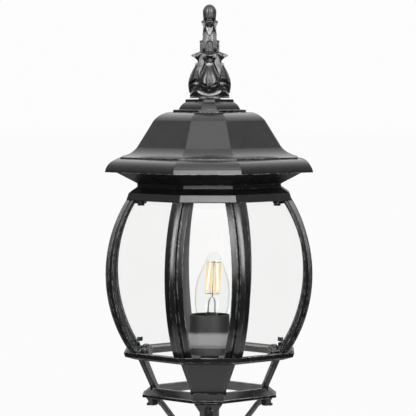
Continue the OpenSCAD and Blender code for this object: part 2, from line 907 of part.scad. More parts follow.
module finial_skin() {
    sides = 56;
    steps = [
        0, 2, 4, 5.5, 7, 8.5, 10, 12, 13.5, 15, 16.5, 18, 20, 22, 24.5, 27, 29.5, 32, 34, 35.5,
        37, 38.5, 40, 41.3, 42.6, 44, 45.5, 47, 48.3, 51, 54, 57, 58.2, 60, 63, 66, 69, 71,
        72.5, 73.8, 74.7, 75.8, 77, 79, 82, 85, 87.5, 89.5, 91, 92.2, 93
    ];
    rows = len(steps);
    points = concat(
        [for (s = steps) for (j = [0:sides - 1])
            let (
                turn = j * 360 / sides,
                off = turn - 90 * round(turn / 90),
                r = finial_radius(s, off)
            )
                [r * cos(turn), r * sin(turn), s * finial_h / 93.3]],
        [[0, 0, 0], [0, 0, finial_h]]
    );
    low = rows * sides;
    high = low + 1;
    faces = concat(
        [for (i = [0:rows - 2]) for (j = [0:sides - 1])
            [i * sides + j, (i + 1) * sides + j, i * sides + (j + 1) % sides]],
        [for (i = [0:rows - 2]) for (j = [0:sides - 1])
            [(i + 1) * sides + j, (i + 1) * sides + (j + 1) % sides, i * sides + (j + 1) % sides]],
        [for (j = [0:sides - 1]) [low, j, (j + 1) % sides]],
        [for (j = [0:sides - 1]) [high, (rows - 1) * sides + (j + 1) % sides,
                                  (rows - 1) * sides + j]]
    );
    polyhedron(points, faces);
}

module finial() {
    color(black)
        translate([0, 0, finial_z])
            difference() {
                finial_skin();
                translate([0, 0, -1]) cylinder(r = stud_r + stud_gap, h = bore_depth + 1);
            }
}

// Lamp pipe, cup and lampholder.

cup_r = cup_d / 2;
cup_z = cup_rim_z - cup_h;
cup_floor_t = 2.5;
holder_z = cup_z + cup_floor_t;
pivot_z = holder_z + 4;
holder_r = 16;
spigot_r = 9;

module lamp_pipe() {
    color(steel)
        tube(pipe_r, pipe_bore_d / 2, pipe_low_z, holder_z + 3.5);
}

module pipe_nuts() {
    color(steel)
        for (z = [pipe_low_z, column_top_z, cup_z - pipe_nut_h])
            translate([0, 0, z]) hex_nut(pipe_d + 6, pipe_r + fit, pipe_nut_h);
}

module holder_cup() {
    color(black)
        difference() {
            rotate_extrude()
                polygon(concat(
                    [[0, cup_z], [cup_r - 3, cup_z]],
                    arc([cup_r - 3, cup_z + 3], 3, 270, 360, 6),
                    [[cup_r, cup_rim_z], [cup_r - cup_wall, cup_rim_z],
                     [cup_r - cup_wall, holder_z], [0, holder_z]]
                ));
            translate([0, 0, cup_z - 1]) cylinder(r = pipe_r + fit, h = cup_floor_t + 2);
        }
}

// Everything that leans: heights inside are measured along the leaning axis.
module leaning() {
    translate([0, 0, pivot_z])
        rotate([0, bulb_lean, 0])
            translate([0, 0, -pivot_z])
                children();
}

contact_z = pivot_z + 5;
cap_tip_z = contact_z + 1.5;
glass_z = cup_rim_z - 10;
bulb_cap_r = bulb_cap_d / 2;
shell_r = bulb_cap_r + 0.3;
shell_t = 0.5;

module lampholder() {
    color("#e4e0d6")
        difference() {
            union() {
                leaning()
                    translate([0, 0, pivot_z - 2]) cylinder(r = holder_r, h = cup_rim_z - pivot_z - 5);
                translate([0, 0, holder_z]) cylinder(r = spigot_r, h = 6);
            }
            leaning()
                translate([0, 0, contact_z]) cylinder(r = shell_r + shell_t + fit, h = 60);
            cylinder(r = pipe_r + fit, h = holder_z + 4);
            for (p = [[wire_x, wire_y], [-wire_x, wire_y], [0, earth_y]])
                translate([p[0], p[1], holder_z]) cylinder(r = wire_r + fit, h = 6.5);
        }
}

module screw_shell() {
    color(brass)
        leaning()
            tube(shell_r + shell_t, shell_r, contact_z + 1.5, cup_rim_z - 9);
}

module centre_contact() {
    color(brass)
        leaning()
            translate([0, 0, contact_z]) cylinder(r = 4, h = 1.2);
}

// Outline of the candle bulb [radius, height above its cap].
bulb_line = [
    [13, 0], [13.4, 4], [15, 10], [16.4, 14.5], [17.2, 20], [17.5, 28], [17.2, 36], [16.1, 42.6],
    [14.3, 49], [11.8, 55.4], [8.9, 62.4], [7.2, 66.6], [5.2, 70.2], [2.7, 72.4]
];

function bulb_points(inset) = [
    for (p = bulb_line) [(p[0] * bulb_d / 35) - inset, glass_z + p[1] * (bulb_glass_l - inset) / 73]
];

module bulb_envelope() {
    glass_wall = 0.8;
    outer = bulb_points(0);
    inner = bulb_points(glass_wall);
    last = len(outer) - 1;
    color(clear)
        leaning()
            rotate_extrude()
                polygon(concat(
                    outer,
                    [[0, glass_z + bulb_glass_l], [0, glass_z + bulb_glass_l - glass_wall]],
                    [for (i = [last:-1:0]) inner[i]]
                ));
}

module bulb_cap() {
    color("#c9c3b2")
        leaning()
            rotate_extrude()
                polygon([
                    [7, cap_tip_z + 3.5], [bulb_cap_r - 0.6, cap_tip_z + 3.5],
                    [bulb_cap_r, cap_tip_z + 5.5], [bulb_cap_r, glass_z], [7, glass_z]
                ]);
}

module bulb_contact() {
    color("#39342f")
        leaning()
            rotate_extrude()
                polygon([
                    [0, cap_tip_z], [3, cap_tip_z], [4, cap_tip_z + 1], [9, cap_tip_z + 3.5],
                    [7, cap_tip_z + 3.5], [7, cap_tip_z + 7], [0, cap_tip_z + 7]
                ]);
}

// Glass stem inside the bulb, from the cap up to the wires.
stem_top_z = glass_z + 27;
stick_low_z = glass_z + 31;
stick_high_z = glass_z + 62;
stick_ring_r = 6.6;
stick_turn = 20;
stick_r = 1.1;

module bulb_stem() {
    color(clear)
        leaning()
            rotate_extrude()
                polygon([
                    [0, glass_z], [bulb_cap_r - 2, glass_z], [bulb_cap_r - 4, glass_z + 2],
                    [5, glass_z + 7], [4.2, glass_z + 22], [2, stem_top_z], [0, stem_top_z]
                ]);
}

module filaments() {
    color("#e0a23c")
        leaning()
            for (i = [0:3])
                rotate([0, 0, stick_turn + i * 90])
                    translate([stick_ring_r, 0, stick_low_z])
                        cylinder(r = stick_r, h = stick_high_z - stick_low_z);
}

// Thin supports: a post out of the stem, and a spoke to each end of every stick.
module filament_wires() {
    spoke_r = 0.35;
    color(steel)
        leaning() {
            translate([0, 0, stem_top_z]) cylinder(r = 0.5, h = stick_high_z + 2 - stem_top_z);
            for (i = [0:3])
                rotate([0, 0, stick_turn + i * 90])
                    for (z = [stick_low_z - spoke_r * 2, stick_high_z])
                        translate([0, -spoke_r, z])
                            cube([stick_ring_r + 0.6, 2 * spoke_r, 2 * spoke_r]);
        }
}

base_gasket();
base_plate();
entry_plate();
entry_plate_screws();
cable_grommet();
terminal_block();
earth_screw();
live_wire();
neutral_wire();
earth_wire();
for (i = [0:3])
    rotate([0, 0, i * 90]) scroll_leg();
leg_screws_top();
leg_screws_base();
gallery();
for (i = [0:7])
    rib(i);
rib_screws_top();
rib_screws_bottom();
for (i = [0:3])
    wide_glass(i);
for (i = [0:3])
    narrow_glass(i);
glass_clips();
crown();
stud_bridge();
bridge_screws();
roof_stud();
stud_nuts();
roof();
finial_washer();
finial();
lamp_pipe();
pipe_nuts();
holder_cup();
lampholder();
screw_shell();
centre_contact();
bulb_envelope();
bulb_cap();
bulb_contact();
bulb_stem();
filaments();
filament_wires();
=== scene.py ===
"""A black cast pillar lantern with a carved finial, a bulging glass cage and a candle bulb.

The pieces' sizes are in millimetres and become metres in mesh_object and united. An octagon has
narrow faces towards the front, the back and the sides: a is the distance of a narrow face from
the axis, and share is a corner's half width divided by a.
"""
import json
import math

import bmesh
import bpy
import numpy as np
from mathutils import Matrix, Vector

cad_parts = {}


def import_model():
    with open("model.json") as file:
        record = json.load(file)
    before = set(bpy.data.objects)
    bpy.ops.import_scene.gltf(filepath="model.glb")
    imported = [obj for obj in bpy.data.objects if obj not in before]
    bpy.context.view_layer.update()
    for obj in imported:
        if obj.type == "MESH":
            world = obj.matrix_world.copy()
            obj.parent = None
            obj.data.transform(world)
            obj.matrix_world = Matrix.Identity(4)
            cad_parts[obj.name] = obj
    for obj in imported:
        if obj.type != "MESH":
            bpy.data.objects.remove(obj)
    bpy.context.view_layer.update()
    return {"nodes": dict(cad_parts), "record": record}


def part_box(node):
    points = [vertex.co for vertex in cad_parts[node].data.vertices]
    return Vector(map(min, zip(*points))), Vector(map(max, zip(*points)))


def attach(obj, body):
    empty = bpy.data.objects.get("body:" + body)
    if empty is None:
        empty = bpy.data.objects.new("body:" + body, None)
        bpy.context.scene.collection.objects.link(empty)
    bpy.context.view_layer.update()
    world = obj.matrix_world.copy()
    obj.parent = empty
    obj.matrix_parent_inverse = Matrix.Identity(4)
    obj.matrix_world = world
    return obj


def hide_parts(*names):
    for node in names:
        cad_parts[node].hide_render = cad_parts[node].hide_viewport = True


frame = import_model()
MM = 0.001


# Materials

def new_material(name):
    """A node material, with its principled shader and its output."""
    mat = bpy.data.materials.new(name)
    mat.use_nodes = True
    nodes, links = mat.node_tree.nodes, mat.node_tree.links
    nodes.clear()
    out = nodes.new("ShaderNodeOutputMaterial")
    shader = nodes.new("ShaderNodeBsdfPrincipled")
    links.new(shader.outputs["BSDF"], out.inputs["Surface"])
    return mat, nodes, links, shader, out


def grey(value):
    return (value, value, value, 1.0)


def put(links, socket, source):
    """Links a socket to another one, or sets it to a constant."""
    if isinstance(source, bpy.types.NodeSocket):
        links.new(source, socket)
    else:
        socket.default_value = source


def operation_node(nodes, links, kind, operation, sources):
    node = nodes.new(kind)
    node.operation = operation
    for socket, source in zip(node.inputs, sources):
        put(links, socket, source)
    return node.outputs


def math_node(nodes, links, operation, *sources):
    return operation_node(nodes, links, "ShaderNodeMath", operation, sources)["Value"]


def vector_node(nodes, links, operation, *sources):
    result = "Value" if operation == "DOT_PRODUCT" else "Vector"
    return operation_node(nodes, links, "ShaderNodeVectorMath", operation, sources)[result]


def range_node(nodes, links, source, low, high, least=0.0, curve="SMOOTHSTEP"):
    """The least value up to low, and one from high."""
    span = nodes.new("ShaderNodeMapRange")
    span.interpolation_type = curve
    span.inputs["From Min"].default_value = low
    span.inputs["From Max"].default_value = high
    span.inputs["To Min"].default_value = least
    links.new(source, span.inputs["Value"])
    return span.outputs["Result"]


def ramp_node(nodes, links, source, stops):
    ramp = nodes.new("ShaderNodeValToRGB")
    elements = ramp.color_ramp.elements
    while len(elements) < len(stops):
        elements.new(0.5)
    for element, (place, colour) in zip(elements, stops):
        element.position = place
        element.color = colour
    links.new(source, ramp.inputs["Fac"])
    return ramp.outputs["Color"]


def blend_node(nodes, links, kind, share, first, second):
    mix = nodes.new("ShaderNodeMix")
    mix.data_type = "RGBA"
    mix.blend_type = kind
    for name, source in (("Factor", share), ("A", first), ("B", second)):
        put(links, mix.inputs[name], source)
    return mix.outputs["Result"]


def turned(nodes, links, socket, share, goal):
    """Turns the colour that feeds a socket towards a goal, by a share."""
    source = socket.links[0].from_socket
    links.new(blend_node(nodes, links, "MIX", share, source, goal), socket)


def noise_node(nodes, links, scale, detail=4.0, stretch=None):
    place = nodes.new("ShaderNodeTexCoord").outputs["Object"]
    if stretch:
        mapping = nodes.new("ShaderNodeMapping")
        mapping.inputs["Scale"].default_value = stretch
        links.new(place, mapping.inputs["Vector"])
        place = mapping.outputs["Vector"]
    noise = nodes.new("ShaderNodeTexNoise")
    noise.inputs["Scale"].default_value = scale
    noise.inputs["Detail"].default_value = detail
    noise.inputs["Roughness"].default_value = 0.6
    links.new(place, noise.inputs["Vector"])
    return noise.outputs["Fac"]


def bump_node(nodes, links, source, strength, distance):
    bump = nodes.new("ShaderNodeBump")
    bump.inputs["Strength"].default_value = strength
    bump.inputs["Distance"].default_value = distance
    links.new(source, bump.inputs["Height"])
    return bump.outputs["Normal"]


BROAD = 0.06  # scale of the mottle, as a share of the bump's scale


def textured(name, dark, light, rough, scale, bump, depth=0.0001, metallic=0.0,
             specular=0.5, ior=1.5, coat=0.0, stretch=None):
    """A surface with a broad mottle of two colours, uneven gloss and a fine bump."""
    mat, nodes, links, shader, _ = new_material(name)
    fine = noise_node(nodes, links, scale, stretch=stretch)
    broad = noise_node(nodes, links, scale * BROAD, 3.0)
    colours = ramp_node(nodes, links, broad, [(0.3, dark), (0.7, light)])
    gloss = ramp_node(nodes, links, broad, [(0.25, grey(rough[0])), (0.75, grey(rough[1]))])
    links.new(colours, shader.inputs["Base Color"])
    links.new(gloss, shader.inputs["Roughness"])
    links.new(bump_node(nodes, links, fine, bump, depth), shader.inputs["Normal"])
    shader.inputs["Metallic"].default_value = metallic
    shader.inputs["Specular IOR Level"].default_value = specular
    shader.inputs["IOR"].default_value = ior
    shader.inputs["Coat Weight"].default_value = coat
    return mat


def casting(name):
    """Black lacquer, painted a lighter grey on walls that face the axis, with light specks on the
    edges that are partly wear and partly a painted highlight.
    """
    mat = textured(name, (0.007, 0.007, 0.0073, 1), (0.011, 0.011, 0.0115, 1), (0.2, 0.28),
                   scale=1500.0, bump=0.2, depth=0.0002, specular=1.0, ior=1.6)
    nodes, links = mat.node_tree.nodes, mat.node_tree.links
    shader = nodes["Principled BSDF"]
    normal = nodes.new("ShaderNodeNewGeometry").outputs["Normal"]
    place = nodes.new("ShaderNodeTexCoord").outputs["Object"]
    flat = vector_node(nodes, links, "MULTIPLY", place, (-1, -1, 0))
    inwards = vector_node(nodes, links, "NORMALIZE", flat)
    facing = vector_node(nodes, links, "DOT_PRODUCT", inwards, normal)
    inner = range_node(nodes, links, facing, 0.3, 0.7)
    soft = nodes.new("ShaderNodeBevel")
    soft.samples = 4
    soft.inputs["Radius"].default_value = 0.0007
    bent = vector_node(nodes, links, "DOT_PRODUCT", soft.outputs["Normal"], normal)
    edge = range_node(nodes, links, bent, 0.99, 0.93)
    specks = range_node(nodes, links, noise_node(nodes, links, 160.0, 3.0), 0.42, 0.62)
    edge_wear_and_highlight = math_node(nodes, links, "MULTIPLY", edge, specks)
    # Painted light: walls that face the axis turn a lighter grey that stands for the light they
    # catch, and they turn rougher.
    turned(nodes, links, shader.inputs["Base Color"], inner, grey(0.19))
    # The speckled edges turn light grey: partly worn paint, partly a painted edge highlight.
    turned(nodes, links, shader.inputs["Base Color"], edge_wear_and_highlight, grey(0.55))
    turned(nodes, links, shader.inputs["Roughness"], inner, grey(0.6))
    return mat


def carved_casting():
    """The casting with painted highlights: parts turn bright grey, by the share of painted
    highlight that the mesh holds.
    """
    mat = casting("carved_casting")
    nodes, links = mat.node_tree.nodes, mat.node_tree.links
    shader = nodes["Principled BSDF"]
    painted_highlight = nodes.new("ShaderNodeAttribute")
    painted_highlight.attribute_name = "painted_highlight"
    patches = noise_node(nodes, links, 220.0, 3.0)
    uneven = range_node(nodes, links, patches, 0.35, 0.65, 0.4, "LINEAR")
    share = math_node(nodes, links, "MULTIPLY", painted_highlight.outputs["Fac"], uneven)
    # Painted highlights: the marked parts of the carving turn bright grey and rougher, unevenly.
    turned(nodes, links, shader.inputs["Base Color"], share, grey(0.6))
    turned(nodes, links, shader.inputs["Roughness"], share, grey(0.42))
    return mat


def clear_shell(name, tints, mirror, rough, waves):
    """Thin glass that lets light through, with a tint for each slant from 0, face on, to 1,
    edge on. It adds a mirroring: mirror is what edge on adds to it, and its weight face on.
    waves are the scale, strength and depth of the ripples."""
    mat, nodes, links, shader, out = new_material(name)
    nodes.remove(shader)
    slant = nodes.new("ShaderNodeLayerWeight")
    slant.inputs["Blend"].default_value = 0.5
    facing = slant.outputs["Facing"]
    clear = nodes.new("ShaderNodeBsdfTransparent")
    links.new(ramp_node(nodes, links, facing, tints), clear.inputs["Color"])
    glossy = nodes.new("ShaderNodeBsdfAnisotropic")
    glossy.inputs["Roughness"].default_value = rough
    edge_on, face_on = mirror
    glossy.inputs["Color"].default_value = grey(face_on)
    if edge_on:
        steep = math_node(nodes, links, "POWER", facing, 5)
        weight = math_node(nodes, links, "MULTIPLY_ADD", steep, edge_on, face_on)
        links.new(weight, glossy.inputs["Color"])
    scale, strength, depth = waves
    relief = bump_node(nodes, links, noise_node(nodes, links, scale, 2.0), strength, depth)
    links.new(relief, glossy.inputs["Normal"])
    both = nodes.new("ShaderNodeAddShader")
    links.new(clear.outputs["BSDF"], both.inputs[0])
    links.new(glossy.outputs["BSDF"], both.inputs[1])
    links.new(both.outputs["Shader"], out.inputs["Surface"])
    return mat


def stem_glass():
    """Solid glass of a low index, so that it stays pale in front of the black cup."""
    mat, _, _, shader, _ = new_material("stem_glass")
    shader.inputs["Base Color"].default_value = (0.97, 0.975, 0.97, 1)
    shader.inputs["Roughness"].default_value = 0.02
    shader.inputs["IOR"].default_value = 1.2
    shader.inputs["Transmission Weight"].default_value = 1.0
    return mat


def phosphor():
    """Pale orange and mottled, with a faint painted glow, as the bulb is unlit."""
    mat, nodes, links, shader, _ = new_material("phosphor")
    colour = (0.9, 0.66, 0.34, 1)
    darker = tuple(c * 0.85 for c in colour[:3]) + (1,)
    mottle = noise_node(nodes, links, 900.0)
    tone = ramp_node(nodes, links, mottle, [(0.3, darker), (0.7, colour)])
    links.new(tone, shader.inputs["Base Color"])
    shader.inputs["Roughness"].default_value = 0.55
    # Painted glow: the filaments of the unlit bulb get a faint emission.
    shader.inputs["Emission Color"].default_value = colour
    shader.inputs["Emission Strength"].default_value = 0.5
    return mat


LOOKS = {
    "black_cup": dict(
        dark=(0.01, 0.01, 0.0105, 1), light=(0.014, 0.014, 0.0145, 1), rough=(0.55, 0.62),
        scale=1800.0, bump=0.08, specular=1.0, ior=1.6),
    "rubber": dict(dark=grey(0.012), light=grey(0.025), rough=(0.7, 0.85), scale=700.0, bump=0.3),
    "zinc": dict(
        dark=(0.5, 0.5, 0.47, 1), light=(0.68, 0.68, 0.66, 1), rough=(0.22, 0.4),
        scale=900.0, bump=0.06, metallic=1.0),
    "blackened_steel": dict(
        dark=grey(0.01), light=grey(0.02), rough=(0.3, 0.42), scale=1200.0, bump=0.1,
        specular=1.0, ior=1.6),
    "raw_aluminium": dict(
        dark=grey(0.5), light=grey(0.64), rough=(0.28, 0.42), scale=500.0, bump=0.1,
        metallic=1.0, stretch=(1.0, 12.0, 1.0)),
    "terminal_nylon": dict(
        dark=(0.6, 0.57, 0.48, 1), light=(0.72, 0.69, 0.6, 1), rough=(0.4, 0.5),
        scale=500.0, bump=0.08),
    "brass": dict(
        dark=(0.55, 0.38, 0.14, 1), light=(0.74, 0.55, 0.24, 1), rough=(0.18, 0.34),
        scale=600.0, bump=0.05, metallic=1.0),
    "live_insulation": dict(
        dark=(0.16, 0.05, 0.02, 1), light=(0.24, 0.08, 0.035, 1), rough=(0.35, 0.45),
        scale=500.0, bump=0.05),
    "neutral_insulation": dict(
        dark=(0.03, 0.1, 0.34, 1), light=(0.05, 0.15, 0.45, 1), rough=(0.35, 0.45),
        scale=500.0, bump=0.05),
    "earth_insulation": dict(
        dark=(0.12, 0.3, 0.05, 1), light=(0.6, 0.55, 0.06, 1), rough=(0.35, 0.45),
        scale=160.0, bump=0.05),
    "porcelain": dict(
        dark=(0.74, 0.72, 0.66, 1), light=(0.82, 0.8, 0.74, 1), rough=(0.15, 0.25),
        scale=200.0, bump=0.03, coat=0.4),
    "cap_metal": dict(
        dark=(0.6, 0.57, 0.5, 1), light=(0.74, 0.71, 0.64, 1), rough=(0.2, 0.32),
        scale=700.0, bump=0.05, metallic=1.0),
    "cap_insulator": dict(
        dark=grey(0.01), light=grey(0.02), rough=(0.12, 0.2), scale=400.0, bump=0.04),
}
MATERIALS = {name: textured(name, **look) for name, look in LOOKS.items()}
MATERIALS["black_casting"] = casting("black_casting")
MATERIALS["phosphor"] = phosphor()
MATERIALS["pane_glass"] = clear_shell("pane_glass", [
    (0.05, (0.987, 0.987, 0.986, 1)), (0.3, (0.976, 0.975, 0.974, 1)),
    (0.75, (0.94, 0.95, 0.945, 1)), (0.93, (0.3, 0.37, 0.34, 1)),
], mirror=(0.3, 0.042), rough=0.03, waves=(9.0, 0.04, 0.002))
MATERIALS["bulb_glass"] = clear_shell("bulb_glass", [
    (0.45, (0.98, 0.984, 0.98, 1)), (0.72, (0.94, 0.95, 0.94, 1)),
    (0.9, (0.74, 0.76, 0.74, 1)),
], mirror=(0.0, 0.03), rough=0.06, waves=(12.0, 0.03, 0.001))

for entry in frame["record"]["subparts"]:
    cad = frame["nodes"][entry["node"]]
    cad.data.materials.clear()
    cad.data.materials.append(MATERIALS[entry["material_slot"]])
frame["nodes"]["bulb_stem"].data.materials[0] = stem_glass()


# Mesh helpers

def mesh_object(name, verts, faces, slot, stands_for, body="lamp", sharp=40.0):
    """A dressed piece from points in millimetres."""
    mesh = bpy.data.meshes.new(name)
    mesh.from_pydata([Vector(v) * MM for v in verts], [], faces)
    return dressed(name, mesh, slot, stands_for, body, sharp)


def dressed(name, mesh, slot, stands_for, body="lamp", sharp=40.0):
    """A smooth-shaded piece with a material, a body and the nodes that it stands for. Edges
    that bend by more than sharp degrees stay sharp, and flat faces keep flat shading."""
    bm = bmesh.new()
    bm.from_mesh(mesh)
    bmesh.ops.remove_doubles(bm, verts=bm.verts, dist=1e-7)
    bmesh.ops.recalc_face_normals(bm, faces=bm.faces)
    limit = math.radians(sharp)
    for face in bm.faces:
        face.smooth = True
    for edge in bm.edges:
        if len(edge.link_faces) == 2:
            edge.smooth = edge.calc_face_angle(0.0) < limit
    bm.to_mesh(mesh)
    bm.free()
    obj = bpy.data.objects.new(name, mesh)
    bpy.context.scene.collection.objects.link(obj)
    mesh.materials.append(MATERIALS[slot])
    weighted = obj.modifiers.new("normals", "WEIGHTED_NORMAL")
    weighted.keep_sharp = True
    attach(obj, body)
    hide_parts(*stands_for)
    return obj


def loft(rings, closed=False, caps=True):
    """Quads between rings of points. closed joins the last ring to the first, and caps close
    the first and the last ring of an open one."""
    count = len(rings[0])
    verts = [p for ring in rings for p in ring]
    faces = []
    spans = len(rings) if closed else len(rings) - 1
    for i in range(spans):
        low = i * count
        high = ((i + 1) % len(rings)) * count
        for j in range(count):
            k = (j + 1) % count
            faces.append((low + j, low + k, high + k, high + j))
    if caps and not closed:
        faces.append(tuple(range(count))[::-1])
        faces.append(tuple(range(len(verts) - count, len(verts))))
    return verts, faces


def joined(parts):
    """Several (verts, faces) pairs as one."""
    verts, faces = [], []
    for part_verts, part_faces in parts:
        start = len(verts)
        verts += part_verts
        faces += [tuple(start + i for i in f) for f in part_faces]
    return verts, faces


def arc(centre, radius, start, end, steps):
    """Points (x, y) along an arc, angles in degrees."""
    points = []
    for i in range(steps + 1):
        turn = math.radians(start + (end - start) * i / steps)
        points.append((centre[0] + radius * math.cos(turn),
                       centre[1] + radius * math.sin(turn)))
    return points


SLIGHT_BEND = 18.0  # degrees; a smaller bend isn't rounded
MOST_OF_SIDE = 0.45  # the most of a side that one corner may take


def rounded(points, radius, steps=3):
    """Rounds the corners of a closed outline. Further values of a point, such as its share,
    stay."""
    result = []
    count = len(points)
    for i, point in enumerate(points):
        here = Vector(point[:2])
        before = Vector(points[i - 1][:2]) - here
        after = Vector(points[(i + 1) % count][:2]) - here
        turn = math.pi - before.angle(after, math.pi)
        if math.degrees(turn) < SLIGHT_BEND:
            result.append(tuple(point))
            continue
        reach = min(radius * math.tan(turn / 2), before.length * MOST_OF_SIDE,
                    after.length * MOST_OF_SIDE)
        bend = reach / math.tan(turn / 2)
        start = here + before.normalized() * reach
        end = here + after.normalized() * reach
        middle = here + (before.normalized() + after.normalized()).normalized() * (
            bend / math.cos(turn / 2))
        first = start - middle
        swing = first.angle_signed(end - middle, 0.0)
        for j in range(steps + 1):
            spoke = first.copy()
            spoke.rotate(Matrix.Rotation(-swing * j / steps, 2))
            result.append(tuple(middle + spoke) + tuple(point[2:]))
    return result


def octagon(a, share, z, corner_r):
    """A ring of points round the octagon, with its eight corners rounded."""
    b = a * (1 + share) / math.sqrt(2)  # distance of a wide face from the axis
    radius = min(corner_r, 0.8 * share * a / math.tan(math.radians(22.5)))
    steps = 3
    ring = []
    for k in range(8):
        d1 = (a if k % 2 == 0 else b) - radius
        d2 = (b if k % 2 == 0 else a) - radius
        t1, t2 = math.radians(45 * k), math.radians(45 * (k + 1))
        det = math.sin(t2 - t1)
        cx = (d1 * math.sin(t2) - d2 * math.sin(t1)) / det
        cy = (d2 * math.cos(t1) - d1 * math.cos(t2)) / det
        for i in range(steps + 1):
            t = t1 + (t2 - t1) * i / steps
            ring.append((cx + radius * math.cos(t), cy + radius * math.sin(t), z))
    return ring


def octagon_loft(profile, corner_r):
    """A ring-shaped solid: profile is a closed outline of (a, z, share)."""
    return loft([octagon(a, share, z, corner_r) for a, z, share in profile], closed=True)


def with_share(points, share):
    """Points (a, z) with a share added to each."""
    return [(a, z, share) for a, z in points]


def lathe(outline, sides):
    """A turned solid from (radius, height) points. The outline starts and ends on the axis,
    or it runs round the section of a ring."""
    turns = [2 * math.pi * j / sides for j in range(sides)]
    rings = [[(r * math.cos(t), r * math.sin(t), z) for t in turns] for r, z in outline]
    return loft(rings, closed=outline[0][0] > 0, caps=False)


def mapped(part, matrix):
    """(verts, faces) moved by a matrix."""
    verts, faces = part
    return [tuple(matrix @ Vector(v)) for v in verts], faces


def quarter_turn(i):
    return Matrix.Rotation(math.radians(90 * i), 4, "Z")


def united(name, parts):
    """One closed mesh from several overlapping closed ones."""
    made = []
    for i, (verts, faces) in enumerate(parts):
        mesh = bpy.data.meshes.new(f"{name}_{i}")
        mesh.from_pydata([Vector(v) * MM for v in verts], [], faces)
        bm = bmesh.new()
        bm.from_mesh(mesh)
        bmesh.ops.recalc_face_normals(bm, faces=bm.faces)
        bm.to_mesh(mesh)
        bm.free()
        obj = bpy.data.objects.new(f"{name}_{i}", mesh)
        bpy.context.scene.collection.objects.link(obj)
        made.append(obj)
    base = made[0]
    for other in made[1:]:
        union = base.modifiers.new("union", "BOOLEAN")
        union.operation = "UNION"
        union.solver = "EXACT"
        union.object = other
    bpy.context.view_layer.update()
    depsgraph = bpy.context.evaluated_depsgraph_get()
    mesh = bpy.data.meshes.new_from_object(base.evaluated_get(depsgraph))
    for obj in made:
        bpy.data.objects.remove(obj)
    return mesh


# Heights of the castings' joints, from the frame, and the shares of their octagons

def low_z(node):
    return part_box(node)[0].z / MM


def high_z(node):
    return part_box(node)[1].z / MM


LIP_Z = low_z("gallery")
RING_Z = high_z("gallery")
SEAT_Z = low_z("rib_1")
COLLAR_Z = low_z("crown")
RIM_Z = low_z("roof")
ROOF_TOP_Z = high_z("roof")
FINIAL_Z = low_z("finial")
TOP_Z = high_z("finial")
CAGE_SHARE = 0.337
ROOF_SHARE = 0.312
LOW_RING_SHARE = 0.232


# Roof

def roof():
    """A thin wall: rim, brim, slope and shoulder, and the stepped cap with its two plates."""
    rim_a = 103.0
    step_a = 88.0
    rim_share = 0.319
    brim_top = RIM_Z + 13.2
    slope_z = brim_top + 11.6
    shoulder_z = slope_z + 25.7
    cap_plate_z = shoulder_z + 8.7
    cap_z = cap_plate_z + 2.3
    top_plate_z = cap_z + 7.9
    outer = with_share([(rim_a, RIM_Z)], rim_share)
    outer += with_share(arc((step_a, brim_top - 15), 15, 8, 90, 14), rim_share)
    outer += with_share([(step_a, brim_top + 1.6)], rim_share)
    outer += with_share(arc((93.14, slope_z + 17.5), 28, 258, 218.8, 14), ROOF_SHARE)
    outer += with_share(arc((37.3, shoulder_z - 14.2), 23.1, 37.9, 76, 12), ROOF_SHARE)
    outer += with_share([(36.4, cap_plate_z - 0.1)], 0.29)
    outer += with_share([(36.2, cap_plate_z), (36.2, cap_z)], 0.276)
    outer += with_share([(30.6, cap_z + 0.1)], 0.255)
    outer += with_share(arc((18.1, cap_z - 4.2), 13.2, 21, 62, 10), 0.25)
    outer += with_share([(24, top_plate_z), (24, ROOF_TOP_Z)], 0.225)
    outer += with_share([(4.6, ROOF_TOP_Z), (4.6, top_plate_z - 0.6)], 0.4)
    inner = [
        (21, top_plate_z - 1.5), (30, cap_z - 1), (30, cap_plate_z - 3), (45, shoulder_z + 3),
        (51.9, shoulder_z), (67.7, slope_z), (76.8, slope_z - 6.5), (85, brim_top - 1.5),
        (85, RIM_Z + 7.5), (94.5, RIM_Z + 7.5), (97.5, RIM_Z + 5.5), (100, RIM_Z + 2.5),
        (100, RIM_Z),
    ]
    profile = rounded(outer + with_share(inner, ROOF_SHARE), 0.8)
    verts, faces = octagon_loft(profile, 1.6)
    mesh_object("roof_shell", verts, faces, "black_casting", ["roof"])


# Crown

def crown():
    """A thin wall: collar, waist and soffit, and a flange that stands in the roof."""
    profile = [
        (82.1, COLLAR_Z), (79.6, COLLAR_Z + 7.4), (71.2, COLLAR_Z + 13.2),
        (71.2, COLLAR_Z + 16.8), (92, RIM_Z), (92, RIM_Z + 7.5), (89, RIM_Z + 7.5),
        (89, RIM_Z + 1.5), (68.2, COLLAR_Z + 18.3), (68.2, COLLAR_Z + 12.2),
        (77.1, COLLAR_Z + 6.4), (78.1, COLLAR_Z + 3), (64, COLLAR_Z + 3), (64, COLLAR_Z),
    ]
    verts, faces = octagon_loft(rounded(with_share(profile, CAGE_SHARE), 0.7), 1.2)
    mesh_object("crown_casting", verts, faces, "black_casting", ["crown"])


# Cage: its ribs follow an arc through the widest line and the collar.

CAGE_A = 100.4  # at the widest line
CAGE_TOP_A = 80.0  # at the collar
MID_SHARE = 0.479  # of the cage's height that is above the widest line
MID_Z = COLLAR_Z - MID_SHARE * (COLLAR_Z - SEAT_Z)
RISE = COLLAR_Z - MID_Z
CORNER_FACTOR = math.hypot(1, CAGE_SHARE)  # a corner's distance from the axis, divided by a
CORNER_TURN = math.atan(CAGE_SHARE)
SCREW_INSET = 12.0  # of the rib screws from a corner, towards the axis


def corner_at(z):
    """Distance of the cage's corners from the axis at a height, and the stretch of a level
    cut through a wall there."""
    bulge = CORNER_FACTOR * (CAGE_A - CAGE_TOP_A)
    radius = (RISE * RISE + bulge * bulge) / (2 * bulge)
    reach = math.sqrt(radius * radius - (z - MID_Z) ** 2)
    return CORNER_FACTOR * CAGE_A - radius + reach, radius / reach


